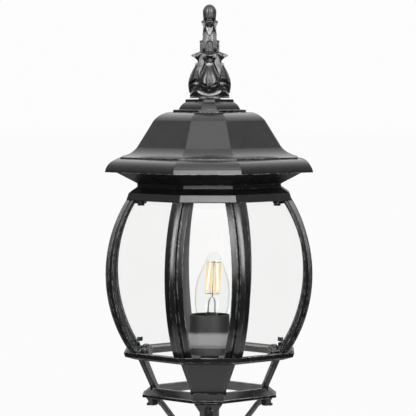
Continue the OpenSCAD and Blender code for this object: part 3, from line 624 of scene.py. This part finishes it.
def rib_section(stretch):
    """Level cut through a rib: x outwards from the corner, y towards the wide face. n is the
    side of the narrow face and w the side of the wide one."""
    bent = math.radians(13.7)
    out_n = Vector((-math.sin(bent), -math.cos(bent)))
    out_w = Vector((-math.sin(bent), math.cos(bent)))
    flange = Vector((-1.8 * stretch, 0))
    groove = Vector((-1.3 * stretch, 0))
    web = 1.5
    web_root = -2.4 * stretch
    web_end = -6.2 * stretch
    bead = 1.3 * stretch
    bead_top = bead + 0.14
    points = [
        (bead, -2.6), (bead_top, -1.1), (bead_top, 1.1), (bead, 2.6),
        out_w * 3.3, out_w * 9.3, out_w * 9.1 + flange,
        (web_root, web), (web_end, web), (web_end, -web), (web_root, -web),
        out_n * 9.9 + flange, out_n * 10.1, out_n * 4.8, out_n * 4.6 + groove,
        out_n * 3.5 + groove, out_n * 3.2,
    ]
    return rounded([tuple(p) for p in points], 0.45, 2)


def at_corner(part, i):
    """A part with the radial direction along X, moved to corner i."""
    turn = Matrix.Rotation(CORNER_TURN, 4, "Z")
    if i % 2:
        turn = Matrix.Scale(-1, 4, (0, 1, 0)) @ turn
    return mapped(part, quarter_turn(i // 2) @ turn)


def at_screw(part, z):
    """A part from the axis, moved along X to the screw of a corner at a height."""
    corner, _ = corner_at(z)
    return mapped(part, Matrix.Translation((corner - SCREW_INSET, 0, 0)))


def rib(i):
    """A curved bar between two round pads with screw holes."""
    steps = 56
    pad_r, pad_t, hole_r, chamfer = 5.5, 3, 2.05, 0.4
    rings = []
    for s in range(steps + 1):
        z = SEAT_Z + (COLLAR_Z - SEAT_Z) * s / steps
        corner, stretch = corner_at(z)
        rings.append([(corner + x, y, z) for x, y in rib_section(stretch)])
    parts = [loft(rings)]
    for low, seat in ((SEAT_Z, SEAT_Z), (COLLAR_Z - pad_t, COLLAR_Z)):
        high = low + pad_t
        pad = lathe([(hole_r, low), (pad_r - chamfer, low), (pad_r, low + chamfer),
                     (pad_r, high - chamfer), (pad_r - chamfer, high), (hole_r, high)], 40)
        parts.append(at_screw(pad, seat))
    verts, faces = at_corner(joined(parts), i)
    mesh_object(f"rib_casting_{i + 1}", verts, faces, "black_casting", [f"rib_{i + 1}"])


# Gallery

def strut():
    """A sloping plate under a narrow face, bevelled along its sides and flared at its ends."""
    foot_z, head_z = LIP_Z + 7.8, RING_Z - 3.5
    foot_a, head_a = 57.6, 72.6
    flare_share = 0.14
    steps = 28
    rings = []
    for s in range(steps + 1):
        t = s / steps
        z = foot_z + (head_z - foot_z) * t
        flare = max(0.0, 1 - t / flare_share) ** 2 + max(0.0, 1 - (1 - t) / flare_share) ** 2
        a = foot_a + (head_a - foot_a) * t + 1.2 * flare
        half = 16.4 + 11.9 * t + 1.5 * flare
        bevel = 2.2 + 4.8 * t
        back = 2.2 + 1.2 * t
        thick = 6.0 + 2.0 * flare
        outline = [(-half + bevel, a), (half - bevel, a), (half, a - back),
                   (half - 0.6, a - thick), (-half + 0.6, a - thick), (-half, a - back)]
        rings.append([(x, -y, z) for x, y in rounded(outline, 0.7, 2)])
    return loft(rings)


def gallery():
    """Two rings, four struts between them, and bosses that the ribs stand on."""
    upper = [
        (73.5, RING_Z - 7.7), (83.4, RING_Z - 4.7), (84.8, RING_Z), (82.0, RING_Z),
        (81.3, RING_Z - 0.8), (67.6, RING_Z - 1.2), (70.2, RING_Z - 7.7),
    ]
    lower = [
        (66.8, LIP_Z), (66.8, LIP_Z + 2.75), (65.5, LIP_Z + 3.2), (58, LIP_Z + 9.4),
        (52.6, LIP_Z + 9.4), (56.4, LIP_Z),
    ]
    parts = [octagon_loft(rounded(with_share(ring, share), 0.5), 0.9)
             for ring, share in ((upper, CAGE_SHARE), (lower, LOW_RING_SHARE))]
    parts += [mapped(strut(), quarter_turn(i)) for i in range(4)]
    boss_r, chamfer, boss_z = 6.5, 0.5, RING_Z - 7
    boss = at_screw(lathe([
        (0, boss_z), (boss_r - chamfer, boss_z), (boss_r, boss_z + chamfer),
        (boss_r, SEAT_Z - chamfer), (boss_r - chamfer, SEAT_Z), (0, SEAT_Z)], 32), SEAT_Z)
    parts += [at_corner(boss, i) for i in range(8)]
    mesh = united("gallery_casting", parts)
    dressed("gallery_casting", mesh, "black_casting", ["gallery"], sharp=35)


def foot_screws():
    """Low round heads where the ribs stand on the gallery, and their shanks through it."""
    top = SEAT_Z + 3
    shank_r, head_r = 1.9, 3.4
    outline = [(0, top - 9), (shank_r, top - 9), (shank_r, top), (head_r, top),
               (head_r, top + 0.5), (3.0, top + 1.4), (1.6, top + 2.0), (0, top + 2.1)]
    screw = at_screw(lathe(outline, 24), SEAT_Z)
    verts, faces = joined([at_corner(screw, i) for i in range(8)])
    mesh_object("rib_foot_screws", verts, faces, "blackened_steel", ["rib_screws_bottom"])


# Scroll legs

def leg_arc(centre, radius, start, end):
    """Points of a leg's back along an arc, each with its outward direction."""
    steps = 12
    points = []
    for k in range(steps + 1):
        angle = math.radians(start + (end - start) * k / steps)
        c, s = math.cos(angle), math.sin(angle)
        points.append((centre[0] + radius * c, centre[1] + radius * s, c, s))
    return points


def leg(i):
    """A bar with wide side bevels that bends down from its block under the ring."""
    block_out, block_half, block_deep, neck_half = 62.6, 13.65, 14.6, 9
    block_low = LIP_Z - 5
    half_w, half_t, flat_half, bevel_d = 9, 2.3, 4.4, 0.9
    slope = 36.9
    top_r, low_r = 11, 34
    bend = (block_out - 6.9, block_low - top_r)
    low_x = 17 + half_t
    low_end_z = 46
    cos_s, sin_s = math.cos(math.radians(slope)), math.sin(math.radians(slope))
    straight = (bend[0] - top_r * cos_s, bend[1] + top_r * sin_s)
    low_cx = low_x + low_r
    run = (straight[0] - (low_cx - low_r * cos_s)) / sin_s
    low_cz = straight[1] - run * cos_s - low_r * sin_s
    turn = 180 - slope
    path = [(block_out - 3, bend[1] + top_r, 0, 1)]
    path += leg_arc(bend, top_r, 90, turn)
    path += leg_arc((low_cx, low_cz), low_r, turn, 180)
    path.append((low_x, low_end_z, -1, 0))
    section = rounded([
        (-half_w, bevel_d), (-flat_half, -half_t), (flat_half, -half_t), (half_w, bevel_d),
        (half_w, half_t), (-half_w, half_t)], 0.6, 2)
    bar = loft([[(y, -(x + nx * d), z + nz * d) for y, d in section]
                for x, z, nx, nz in path])
    plan = rounded([
        (-block_half, block_out), (block_half, block_out), (block_half, block_out - 5.5),
        (neck_half, block_out - block_deep), (-neck_half, block_out - block_deep),
        (-block_half, block_out - 5.5)], 1.0)
    heights = [(block_low - 4, 4.6), (block_low - 3.6, 4.2), (block_low + 2.6, 0.6),
               (block_low + 3.2, 0), (LIP_Z - 0.05, 0)]
    # An inset is in full at these distances from the plan's middle, and less nearer to it.
    full_x, full_y = 13, 7
    middle = block_out - full_y
    block = loft([[(x - x * inset / full_x, -(y - (y - middle) * inset / full_y), z)
                   for x, y in plan] for z, inset in heights])
    mesh = united(f"leg_{i}", [bar, block])
    mesh.transform(quarter_turn(i))
    dressed(f"scroll_leg_casting_{i + 1}", mesh, "black_casting",
            [f"scroll_leg_{i + 1}"], sharp=50)


# Cup and bulb

def cup():
    """A pot with a hole for the lamp pipe in its floor."""
    low, high = low_z("holder_cup"), high_z("holder_cup")
    cup_r, wall, floor_t, hole_r = 20, 1.5, 2.5, 5.05
    outline = rounded([(hole_r, low), (cup_r, low), (cup_r, high), (cup_r - wall, high),
                       (cup_r - wall, low + floor_t), (hole_r, low + floor_t)], 0.7)
    verts, faces = lathe(outline, 96)
    mesh_object("lamp_cup", verts, faces, "black_cup", ["holder_cup"])


LEAN = math.radians(2.9)  # of the bulb, as in the photo
PIVOT_Z = low_z("holder_cup") + 6.5
LEANING = (Matrix.Translation((0, 0, PIVOT_Z)) @ Matrix.Rotation(LEAN, 4, "Y")
           @ Matrix.Translation((0, 0, -PIVOT_Z)))
GLASS_Z = high_z("holder_cup") - 10  # the glass starts inside the cup


def smooth_curve(points):
    """A Catmull-Rom curve through (radius, height) points."""
    steps = 5
    result = []
    for i in range(len(points) - 1):
        p0 = points[max(i - 1, 0)]
        p1, p2 = points[i], points[i + 1]
        p3 = points[min(i + 2, len(points) - 1)]
        for s in range(steps):
            t = s / steps
            result.append(tuple(
                0.5 * ((2 * b) + (c - a) * t + (2 * a - 5 * b + 4 * c - d) * t * t
                       + (3 * b - a - 3 * c + d) * t ** 3)
                for a, b, c, d in zip(p0, p1, p2, p3)))
    result.append(points[-1])
    return result


def bulb():
    """The blown candle, whose outside and inside meet on the axis."""
    height, wall = 73, 0.7
    line = smooth_curve([
        (13, 0), (13.4, 4), (15, 10), (16.4, 14.5), (17.2, 20), (17.5, 28), (17.2, 36),
        (16.1, 42.6), (14.3, 49), (11.8, 55.4), (8.9, 62.4), (7.2, 66.6), (5.2, 70.2),
        (2.7, 72.4), (0, height),
    ])
    inner = [(max(r - wall, 0), z * (height - wall) / height) for r, z in line]
    outline = [(max(r, 0), GLASS_Z + z) for r, z in line + inner[::-1]]
    verts, faces = mapped(lathe(outline, 72), LEANING)
    mesh_object("bulb_glass", verts, faces, "bulb_glass", ["bulb_envelope"], "bulb")


# Finial: a radius for every turn and height, carved with four tiers of leaves. turn is counted
# from the middle of the nearest leaf, in degrees, h above the foot, and u along the skin. The
# _R lists hold a tier's outline as (h, radius) and the _W lists its half width as (h, u).

CARVED_H = 93.3  # the finial's height in the numbers below
CORE = [
    (0, 18.9), (3, 18.5), (7, 17.9), (13, 16.6), (18, 15.6), (23, 13.6), (29, 11.4),
    (35, 9.7), (41, 8.9), (46, 8.5), (53, 7.6), (58, 7.1), (63, 6.9), (69, 6.2), (73, 5.8),
    (77, 5.9), (81, 6.5), (85.6, 6.8), (88, 6.5), (90, 5.5), (91.6, 4.2), (92.6, 2.7),
    (93.15, 1.2), (CARVED_H, 0.05),
]
SPADE_R = [
    (3.5, 19.6), (5.5, 20.3), (9, 21.0), (12, 21.4), (15, 21.3), (19.3, 20.5), (23.3, 19.2),
    (26.3, 17.8), (29.3, 16.2), (31.8, 14.7), (33.4, 14.3), (34.4, 14.4), (35.2, 13.4),
    (36, 9),
]
SPADE_W = [
    (4.9, 0), (5.3, 3.6), (6, 6.2), (7.3, 9.3), (9, 11.6), (11.2, 13.2), (13.5, 13.6),
    (18.6, 13.5), (20.3, 12.6), (23.3, 10.2), (27.3, 7.4), (31.3, 5.4), (34.5, 4.8), (36, 4.4),
]
FACET_R = [(20, 15.2), (28, 13.9), (34, 12.5), (40, 11.0), (45, 9.4)]
FACET_W = [(20.5, 0), (24, 1.3), (29, 2.5), (34, 3.6), (38, 3.2), (42, 1.8), (44.5, 0)]
HOOD_R = [
    (34.4, 11), (35.4, 13.2), (36.3, 14.0), (37.8, 15.6), (39.0, 17.3), (40.1, 18.2),
    (41.4, 18.6), (42.6, 18.3), (43.6, 17.1), (44.6, 14.6), (45.9, 11), (47.5, 8),
]
HOOD_W = [
    (34.4, 5), (36, 6.2), (38, 7.4), (41, 8), (44, 7.9), (45.6, 6.9), (46.8, 4.8), (47.5, 3),
]
HOOD_PIT = (38.3, 5.8, 3.1)  # a hollow's middle height, half width and half height
BUD_R = [
    (61.5, 6.8), (63, 7.3), (68, 7.3), (70.2, 7.6), (71.6, 8.3), (73, 9.4), (74.4, 10),
    (75.4, 9.3), (76.6, 7.9), (77.8, 6.2), (79, 5.5),
]
BUD_W = [
    (61.8, 0), (62.6, 1.5), (64.5, 2.7), (67, 3.7), (70, 4.4), (73, 4.9), (75.5, 4.7),
    (77, 3.6), (78.2, 1.5),
]
BUD_PIT = (72.6, 3.9, 3.0)
TAB_SKIN = 9.6  # radius on which a tab's width is measured
TAB_ROUND_H = 53.2  # where its straight sides end in a half round
TAB_HALF = 4.2


def along(line, h):
    heights, values = zip(*line)
    return np.interp(h, heights, values)


def within(h, low, high):
    return (h > low) & (h < high)


def from_leaf(turn, radius):
    """Distance along a skin of a radius from the middle of the nearest leaf."""
    return np.radians(np.abs(turn)) * radius


def falloff(distance, soft):
    """One inside an edge and nought outside, with a smooth step of a width."""
    t = np.clip(0.5 - distance / soft, 0, 1)
    return t * t * (3 - 2 * t)


def pit(u, h, middle_h, half_u, half_h):
    """How deep inside a rounded hollow a point lies, from nought at its rim to one."""
    rim = (u / half_u) ** 2.5 + np.abs((h - middle_h) / half_h) ** 2.5
    return np.clip(1 - rim, 0, 1) ** 0.6


def slit(u, h, start, end, half):
    """How deep inside a slanted tapering cut a point lies."""
    du, dh = end[0] - start[0], end[1] - start[1]
    length = math.hypot(du, dh)
    x = ((u - start[0]) * du + (h - start[1]) * dh) / length
    y = ((u - start[0]) * -dh + (h - start[1]) * du) / length
    t = np.clip(x / length, 0, 1)
    over = np.maximum(np.abs(x / length - 0.5) - 0.5, 0) * length
    wide = half * (1.0 - 0.75 * t)
    return np.clip(1 - (y / wide) ** 2 - (over / half) ** 2, 0, 1) ** 0.5


def spades(core, turn, h):
    """Broad leaves at the foot, pointed below, with a vein and slanted cuts, over a rim."""
    skin = np.maximum(along(SPADE_R, h), core)
    u = from_leaf(turn, skin)
    half = along(SPADE_W, h)
    inside = falloff(u - half, 1.1) * within(h, 4.6, 36)
    share = u / np.maximum(half, 0.5)
    vein = 0.5 * np.exp(-(u / 0.7) ** 2) * within(h, 8, 31)
    leaf = skin - 2.6 * share ** 2.4 - vein
    leaf -= 4.6 * slit(u, h, (14.2, 18.3), (4.6, 12.9), 2.0)
    leaf -= 1.3 * slit(u, h, (14.6, 12.3), (8.2, 9.0), 1.2)
    r = core + (np.maximum(leaf, core) - core) * inside
    curl = slit(u, h, (13.6, 6.6), (6.5, 2.9), 1.5) + slit(u, h, (6.6, 2.9), (0.8, 2.3), 1.2)
    r = np.where(h < 8, np.maximum(r, 19.3 + 0.9 * np.clip(curl, 0, 1)), r)
    return np.where(h < 1.2, np.maximum(r, 19.9), r)


def facets(r, core, turn, h):
    """Smooth facets on the corners between the leaves."""
    u = from_leaf(45 - np.abs(turn), core)
    facet = falloff(u - along(FACET_W, h), 0.8) * within(h, 20, 45)
    return np.maximum(r, core + (along(FACET_R, h) - core) * facet)


def hoods(r, core, turn, h):
    """Leaves that curl outwards over a hollow."""
    skin = np.maximum(along(HOOD_R, h), core)
    u = from_leaf(turn, np.minimum(skin, 14.5))
    half = along(HOOD_W, h)
    hollow = pit(u, h, *HOOD_PIT)
    hood = skin - (skin - core) * 0.45 * (u / half) ** 2.6
    hood -= 9.5 * hollow
    inside = falloff(u - half, 0.9) * within(h, 34.4, 47.5)
    r = np.maximum(r, core + (hood - core) * inside)
    mouth = (hollow > 0) & within(h, 34.4, 42)
    return np.where(mouth, np.minimum(r, np.maximum(hood, core - 1.2)), r)


def tabs(r, core, turn, h):
    """Flat tabs with a sunken middle and a round top."""
    u = from_leaf(turn, TAB_SKIN)
    edge = np.hypot(u, np.maximum(h - TAB_ROUND_H, 0)) - TAB_HALF
    tab = falloff(edge, 0.9) * within(h, 46, 58.5)
    plate = 10.25 - 0.25 * (u / 4) ** 2 - 0.55 * falloff(edge + 1.1, 0.9)
    return np.maximum(r, core + (plate - core) * tab)


def buds(r, core, turn, h):
    """Small leaves that open into a hollow under the ball."""
    skin = np.maximum(along(BUD_R, h), core)
    u = from_leaf(turn, np.minimum(skin, 8.2))
    half = along(BUD_W, h)
    inside = falloff(u - half, 0.8) * within(h, 61.8, 78.6)
    share = u / np.maximum(half, 0.4)
    bud = skin - (skin - core) * 0.5 * share ** 2.5
    bud -= 0.7 * falloff(u - half + 1.0, 0.7) * (h < 70)
    r = np.maximum(r, core + (bud - core) * inside)
    return r - 5.0 * pit(u, h, *BUD_PIT)


def finial_radius(turn, h):
    core = along(CORE, h)
    r = spades(core, turn, h)
    for tier in (facets, hoods, tabs, buds):
        r = tier(r, core, turn, h)
    return r


def finial_painted_highlight(turn, h):
    """How much painted highlight each spot gets, a bright grey that stands for light: on the
    facets, the neck, the lips and the buds.
    Each part is measured on the skin's radius there."""
    corner_u = from_leaf(45 - np.abs(turn), along(CORE, h))
    facet = falloff(corner_u - along(FACET_W, h) + 0.7, 1.0) * within(h, 21.5, 43.5)

    tab_reach = np.hypot(from_leaf(turn, TAB_SKIN), np.maximum(h - TAB_ROUND_H, 0))
    tab = falloff(tab_reach - TAB_HALF - 0.7, 0.8)
    panel = falloff(tab_reach - TAB_HALF + 1.3, 0.8) * within(h, 46.8, 57)

    bud_u = from_leaf(turn, 7.6)
    half = along(BUD_W, h)
    bud = falloff(bud_u - half - 0.5, 0.8) * (h > 61.3)
    drop = falloff(bud_u - half + 1.2, 0.7) * within(h, 62.8, 70.3)
    wings = falloff(0.5 * half - bud_u, 0.8) * falloff(bud_u - half, 0.8) * within(h, 68, 74.5)
    wings *= pit(bud_u, h, *BUD_PIT) <= 0
    neck = falloff(50 - h, 4.0) * falloff(h - 65.5, 2.5) * (1 - tab) * (1 - bud)
    ball = falloff(79.5 - h, 2.0) * falloff(h - 90.5, 2.0)

    lip = falloff(from_leaf(turn, 14.4) - 4.2, 1.2)
    lip *= falloff(32.6 - h, 0.8) * falloff(h - 35.0, 0.8)
    hood_u = from_leaf(turn, 14.5)
    hood = falloff(3.4 - hood_u, 1.0) * falloff(hood_u - 6.4, 1.0) * within(h, 39.8, 43.4)

    foot_u = from_leaf(turn, 19.5)
    curl_h = 3.4 + 4.2 * (foot_u / 13.6) ** 2
    foot = falloff(np.abs(h - curl_h) - 0.9, 0.9) * falloff(foot_u - 12, 2.0)
    cheek = falloff(np.hypot(from_leaf(turn, 20.5) - 14.6, (h - 14.6) * 1.3) - 1.6, 0.9)

    total = drop + wings + lip + 0.85 * facet + 0.8 * (hood + foot + cheek)
    total += 0.55 * neck + 0.2 * panel + 0.13 * ball
    return np.clip(total, 0, 1)


def finial():
    """The carving as one grid of points, slightly smoothed, round a blind bore."""
    sides, rows = 264, 290
    bore_r, bore_top = 4.05, FINIAL_Z + 34
    scale = (TOP_Z - FINIAL_Z) / CARVED_H
    h = np.linspace(0, 1, rows) ** 0.985 * CARVED_H
    angles = np.arange(sides) * 360 / sides
    turn = angles - 90 * np.round(angles / 90)
    grid_h, grid_turn = np.meshgrid(h, turn, indexing="ij")
    r = finial_radius(grid_turn, grid_h)
    soft = 0.25 * (np.roll(r, 1, 1) + np.roll(r, -1, 1)) + 0.5 * r
    soft[1:-1] = 0.25 * (soft[:-2] + soft[2:]) + 0.5 * soft[1:-1]
    spokes = list(zip(np.cos(np.radians(angles)), np.sin(np.radians(angles))))
    rings = [[(radius * c, radius * s, z) for c, s in spokes]
             for radius, z in ((0.01, bore_top), (bore_r, bore_top), (bore_r, FINIAL_Z))]
    rings += [[(a * c, a * s, FINIAL_Z + level * scale) for a, (c, s) in zip(row, spokes)]
              for row, level in zip(soft, h)]
    verts, faces = loft(rings)
    obj = mesh_object("finial_carving", verts, faces, "black_casting", ["finial"], "finial",
                      sharp=75)
    obj.data.materials[0] = carved_casting()
    spots = np.array([v.co for v in obj.data.vertices]) / MM
    angles = np.degrees(np.arctan2(spots[:, 1], spots[:, 0]))
    # The share of painted highlight at each point, kept on the mesh.
    share = finial_painted_highlight(angles - 90 * np.round(angles / 90), (spots[:, 2] - FINIAL_Z) / scale)
    painted_highlight = obj.data.attributes.new("painted_highlight", "FLOAT", "POINT")
    painted_highlight.data.foreach_set("value", share.astype(np.float32))


finial()
roof()
crown()
for number in range(8):
    rib(number)
gallery()
foot_screws()
for number in range(4):
    leg(number)
cup()
bulb()


# Floor, light and camera

FLOOR_FOR_LIGHT = 0.5  # the floor's grey as the light meets it
FLOOR_SEEN = 0.8  # and as the camera does
WHITE_FLOOR = 0.97
WHITE_WORLD = 0.98
# The world as the lamp meets it: BEHIND runs from the camera's side to the far side, RISING
# and ABOVE from below to overhead.
ROOM = 2.0
BEHIND = [(0.0, grey(0.06)), (0.5, grey(0.05)), (0.62, grey(0.1)), (0.75, grey(0.3)),
          (0.87, grey(0.7))]
RISING = [(0.5, grey(0.12)), (0.56, grey(0.3)), (0.68, grey(1))]
ABOVE = [(0.5, grey(0.0)), (0.8, grey(0.03)), (1.0, grey(0.3))]


def seen_through(nodes, links):
    """One for rays from the camera, straight or through glass, and nought for others."""
    path = nodes.new("ShaderNodeLightPath")
    return math_node(nodes, links, "MAXIMUM", path.outputs["Is Camera Ray"],
                     path.outputs["Is Transmission Ray"])


def floor():
    """A pale floor that the camera sees as white, more so away from the lamp."""
    bpy.ops.mesh.primitive_plane_add(size=40)
    plane = bpy.context.object
    plane.name = "floor"
    mat, nodes, links, shader, out = new_material("pale_floor")
    coord = nodes.new("ShaderNodeTexCoord")
    scale = nodes.new("ShaderNodeMapping")
    scale.inputs["Scale"].default_value = (1.6, 1.6, 1.6)
    gradient = nodes.new("ShaderNodeTexGradient")
    gradient.gradient_type = "SPHERICAL"
    links.new(coord.outputs["Object"], scale.inputs["Vector"])
    links.new(scale.outputs["Vector"], gradient.inputs["Vector"])
    far = ramp_node(nodes, links, gradient.outputs["Fac"], [(0.0, grey(1)), (0.55, grey(0.15))])
    seen = seen_through(nodes, links)
    tone = blend_node(nodes, links, "MIX", seen, grey(FLOOR_FOR_LIGHT), grey(FLOOR_SEEN))
    links.new(tone, shader.inputs["Base Color"])
    shader.inputs["Roughness"].default_value = 0.9
    shader.inputs["Specular IOR Level"].default_value = 0.1
    glow = nodes.new("ShaderNodeEmission")
    glow.inputs["Color"].default_value = grey(1)
    glow.inputs["Strength"].default_value = WHITE_FLOOR
    mix = nodes.new("ShaderNodeMixShader")
    links.new(math_node(nodes, links, "MULTIPLY", seen, far), mix.inputs["Fac"])
    links.new(shader.outputs["BSDF"], mix.inputs[1])
    links.new(glow.outputs["Emission"], mix.inputs[2])
    links.new(mix.outputs["Shader"], out.inputs["Surface"])
    plane.data.materials.append(mat)
    plane.visible_glossy = False
    plane.visible_shadow = False


def world():
    """White behind the lamp, grey overhead, darker at the sides and towards the camera."""
    studio = bpy.data.worlds.new("studio")
    bpy.context.scene.world = studio
    studio.use_nodes = True
    nodes, links = studio.node_tree.nodes, studio.node_tree.links
    nodes.clear()
    out = nodes.new("ShaderNodeOutputWorld")
    coord = nodes.new("ShaderNodeTexCoord")
    split = nodes.new("ShaderNodeSeparateXYZ")
    links.new(coord.outputs["Generated"], split.inputs["Vector"])
    depth = range_node(nodes, links, split.outputs["Y"], -1, 1, curve="LINEAR")
    height = range_node(nodes, links, split.outputs["Z"], -1, 1, curve="LINEAR")
    behind = ramp_node(nodes, links, depth, BEHIND)
    rising = ramp_node(nodes, links, height, RISING)
    above = ramp_node(nodes, links, height, ABOVE)
    upper = blend_node(nodes, links, "MULTIPLY", 1.0, behind, rising)
    total = blend_node(nodes, links, "ADD", 1.0, upper, above)
    room = nodes.new("ShaderNodeBackground")
    links.new(total, room.inputs["Color"])
    room.inputs["Strength"].default_value = ROOM
    white = nodes.new("ShaderNodeBackground")
    white.inputs["Color"].default_value = grey(1)
    white.inputs["Strength"].default_value = WHITE_WORLD
    mix = nodes.new("ShaderNodeMixShader")
    links.new(seen_through(nodes, links), mix.inputs["Fac"])
    links.new(room.outputs["Background"], mix.inputs[1])
    links.new(white.outputs["Background"], mix.inputs[2])
    links.new(mix.outputs["Shader"], out.inputs["Surface"])


def softbox(name, place, target, size, radiance, fade, shines_on=None):
    """A rectangular light of a radiance. It fades out to its edges, over a share of its width
    and of its height."""
    data = bpy.data.lights.new(name, "AREA")
    data.shape = "RECTANGLE"
    data.size, data.size_y = size
    data.energy = radiance * math.pi * size[0] * size[1]
    data.use_nodes = True
    nodes, links = data.node_tree.nodes, data.node_tree.links
    nodes.clear()
    out = nodes.new("ShaderNodeOutputLight")
    glow = nodes.new("ShaderNodeEmission")
    spot = nodes.new("ShaderNodeNewGeometry")
    split = nodes.new("ShaderNodeSeparateXYZ")
    links.new(spot.outputs["Parametric"], split.inputs["Vector"])
    edges = []
    for axis, share in zip("XY", fade):
        inwards = math_node(nodes, links, "PINGPONG", split.outputs[axis], 0.5)
        edges.append(range_node(nodes, links, inwards, 0, share))
    links.new(math_node(nodes, links, "MULTIPLY", *edges), glow.inputs["Strength"])
    links.new(glow.outputs["Emission"], out.inputs["Surface"])
    obj = bpy.data.objects.new(name, data)
    obj.location = place
    aim = Vector(target) - Vector(place)
    obj.rotation_euler = aim.to_track_quat("-Z", "Y").to_euler()
    obj.visible_camera = False
    if shines_on:
        obj.light_linking.receiver_collection = shines_on
    bpy.context.scene.collection.objects.link(obj)


def panes(state, names):
    """A list for a light, of panes that it shines on alone or leaves out."""
    group = bpy.data.collections.new(f"panes_{state.lower()}")
    for name in names:
        group.objects.link(frame["nodes"][name])
    for member in group.collection_objects:
        member.light_linking.link_state = state
    return group


def camera():
    """A long lens, slightly from above. At the lamp's axis one pixel is one millimetre."""
    distance = 2.6
    pitch = math.radians(2.8)
    aim = Vector((-0.0016, 0, 0.2967))
    place = Vector((0.055, -distance * math.cos(pitch), aim.z + distance * math.sin(pitch)))
    data = bpy.data.cameras.new("camera")
    data.sensor_width = 36
    data.lens = 225
    obj = bpy.data.objects.new("camera", data)
    obj.location = place
    obj.rotation_euler = (aim - place).to_track_quat("-Z", "Y").to_matrix().to_euler()
    bpy.context.scene.collection.objects.link(obj)
    bpy.context.scene.camera = obj


floor()
world()
camera()
PANES = [name for name in frame["nodes"] if name.startswith(("wide_glass", "narrow_glass"))]
FRONT_PANE = min(PANES, key=lambda name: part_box(name)[0].y)
NO_PANES = panes("EXCLUDE", PANES)
softbox("front_window", (0.14, -1.9, 1.12), (0, 0, 0.6), (1.1, 2.1), 1.9, (0.3, 0.12), NO_PANES)
softbox("high_window", (0.2, -1.9, 1.5), (0, 0, 0.5), (1.1, 1.3), 1.9, (0.3, 0.25), NO_PANES)
softbox("left_window", (-2.0, -2.35, 1.75), (0, 0, 0.6), (1.15, 3.7), 5.4, (0.3, 0.2), NO_PANES)
softbox("right_window", (2.0, -2.3, 1.75), (0, 0, 0.6), (1.5, 3.6), 5.2, (0.3, 0.2), NO_PANES)
softbox("top_box", (0.0, -1.1, 2.3), (0, 0, 0.35), (1.6, 1.0), 0.5, (0.3, 0.3))
# The white table under the lamp, and what the front pane mirrors of it over the cup
softbox("white_table", (0, 0, 0.001), (0, 0, 1), (0.468, 0.468), 0.42, (0.04, 0.04), NO_PANES)
softbox("veil", (0, 0, 0.001), (0, 0, 1), (0.47, 0.47), 3.0, (0.03, 0.03),
        panes("INCLUDE", [FRONT_PANE]))
bpy.context.scene.view_settings.view_transform = "Standard"
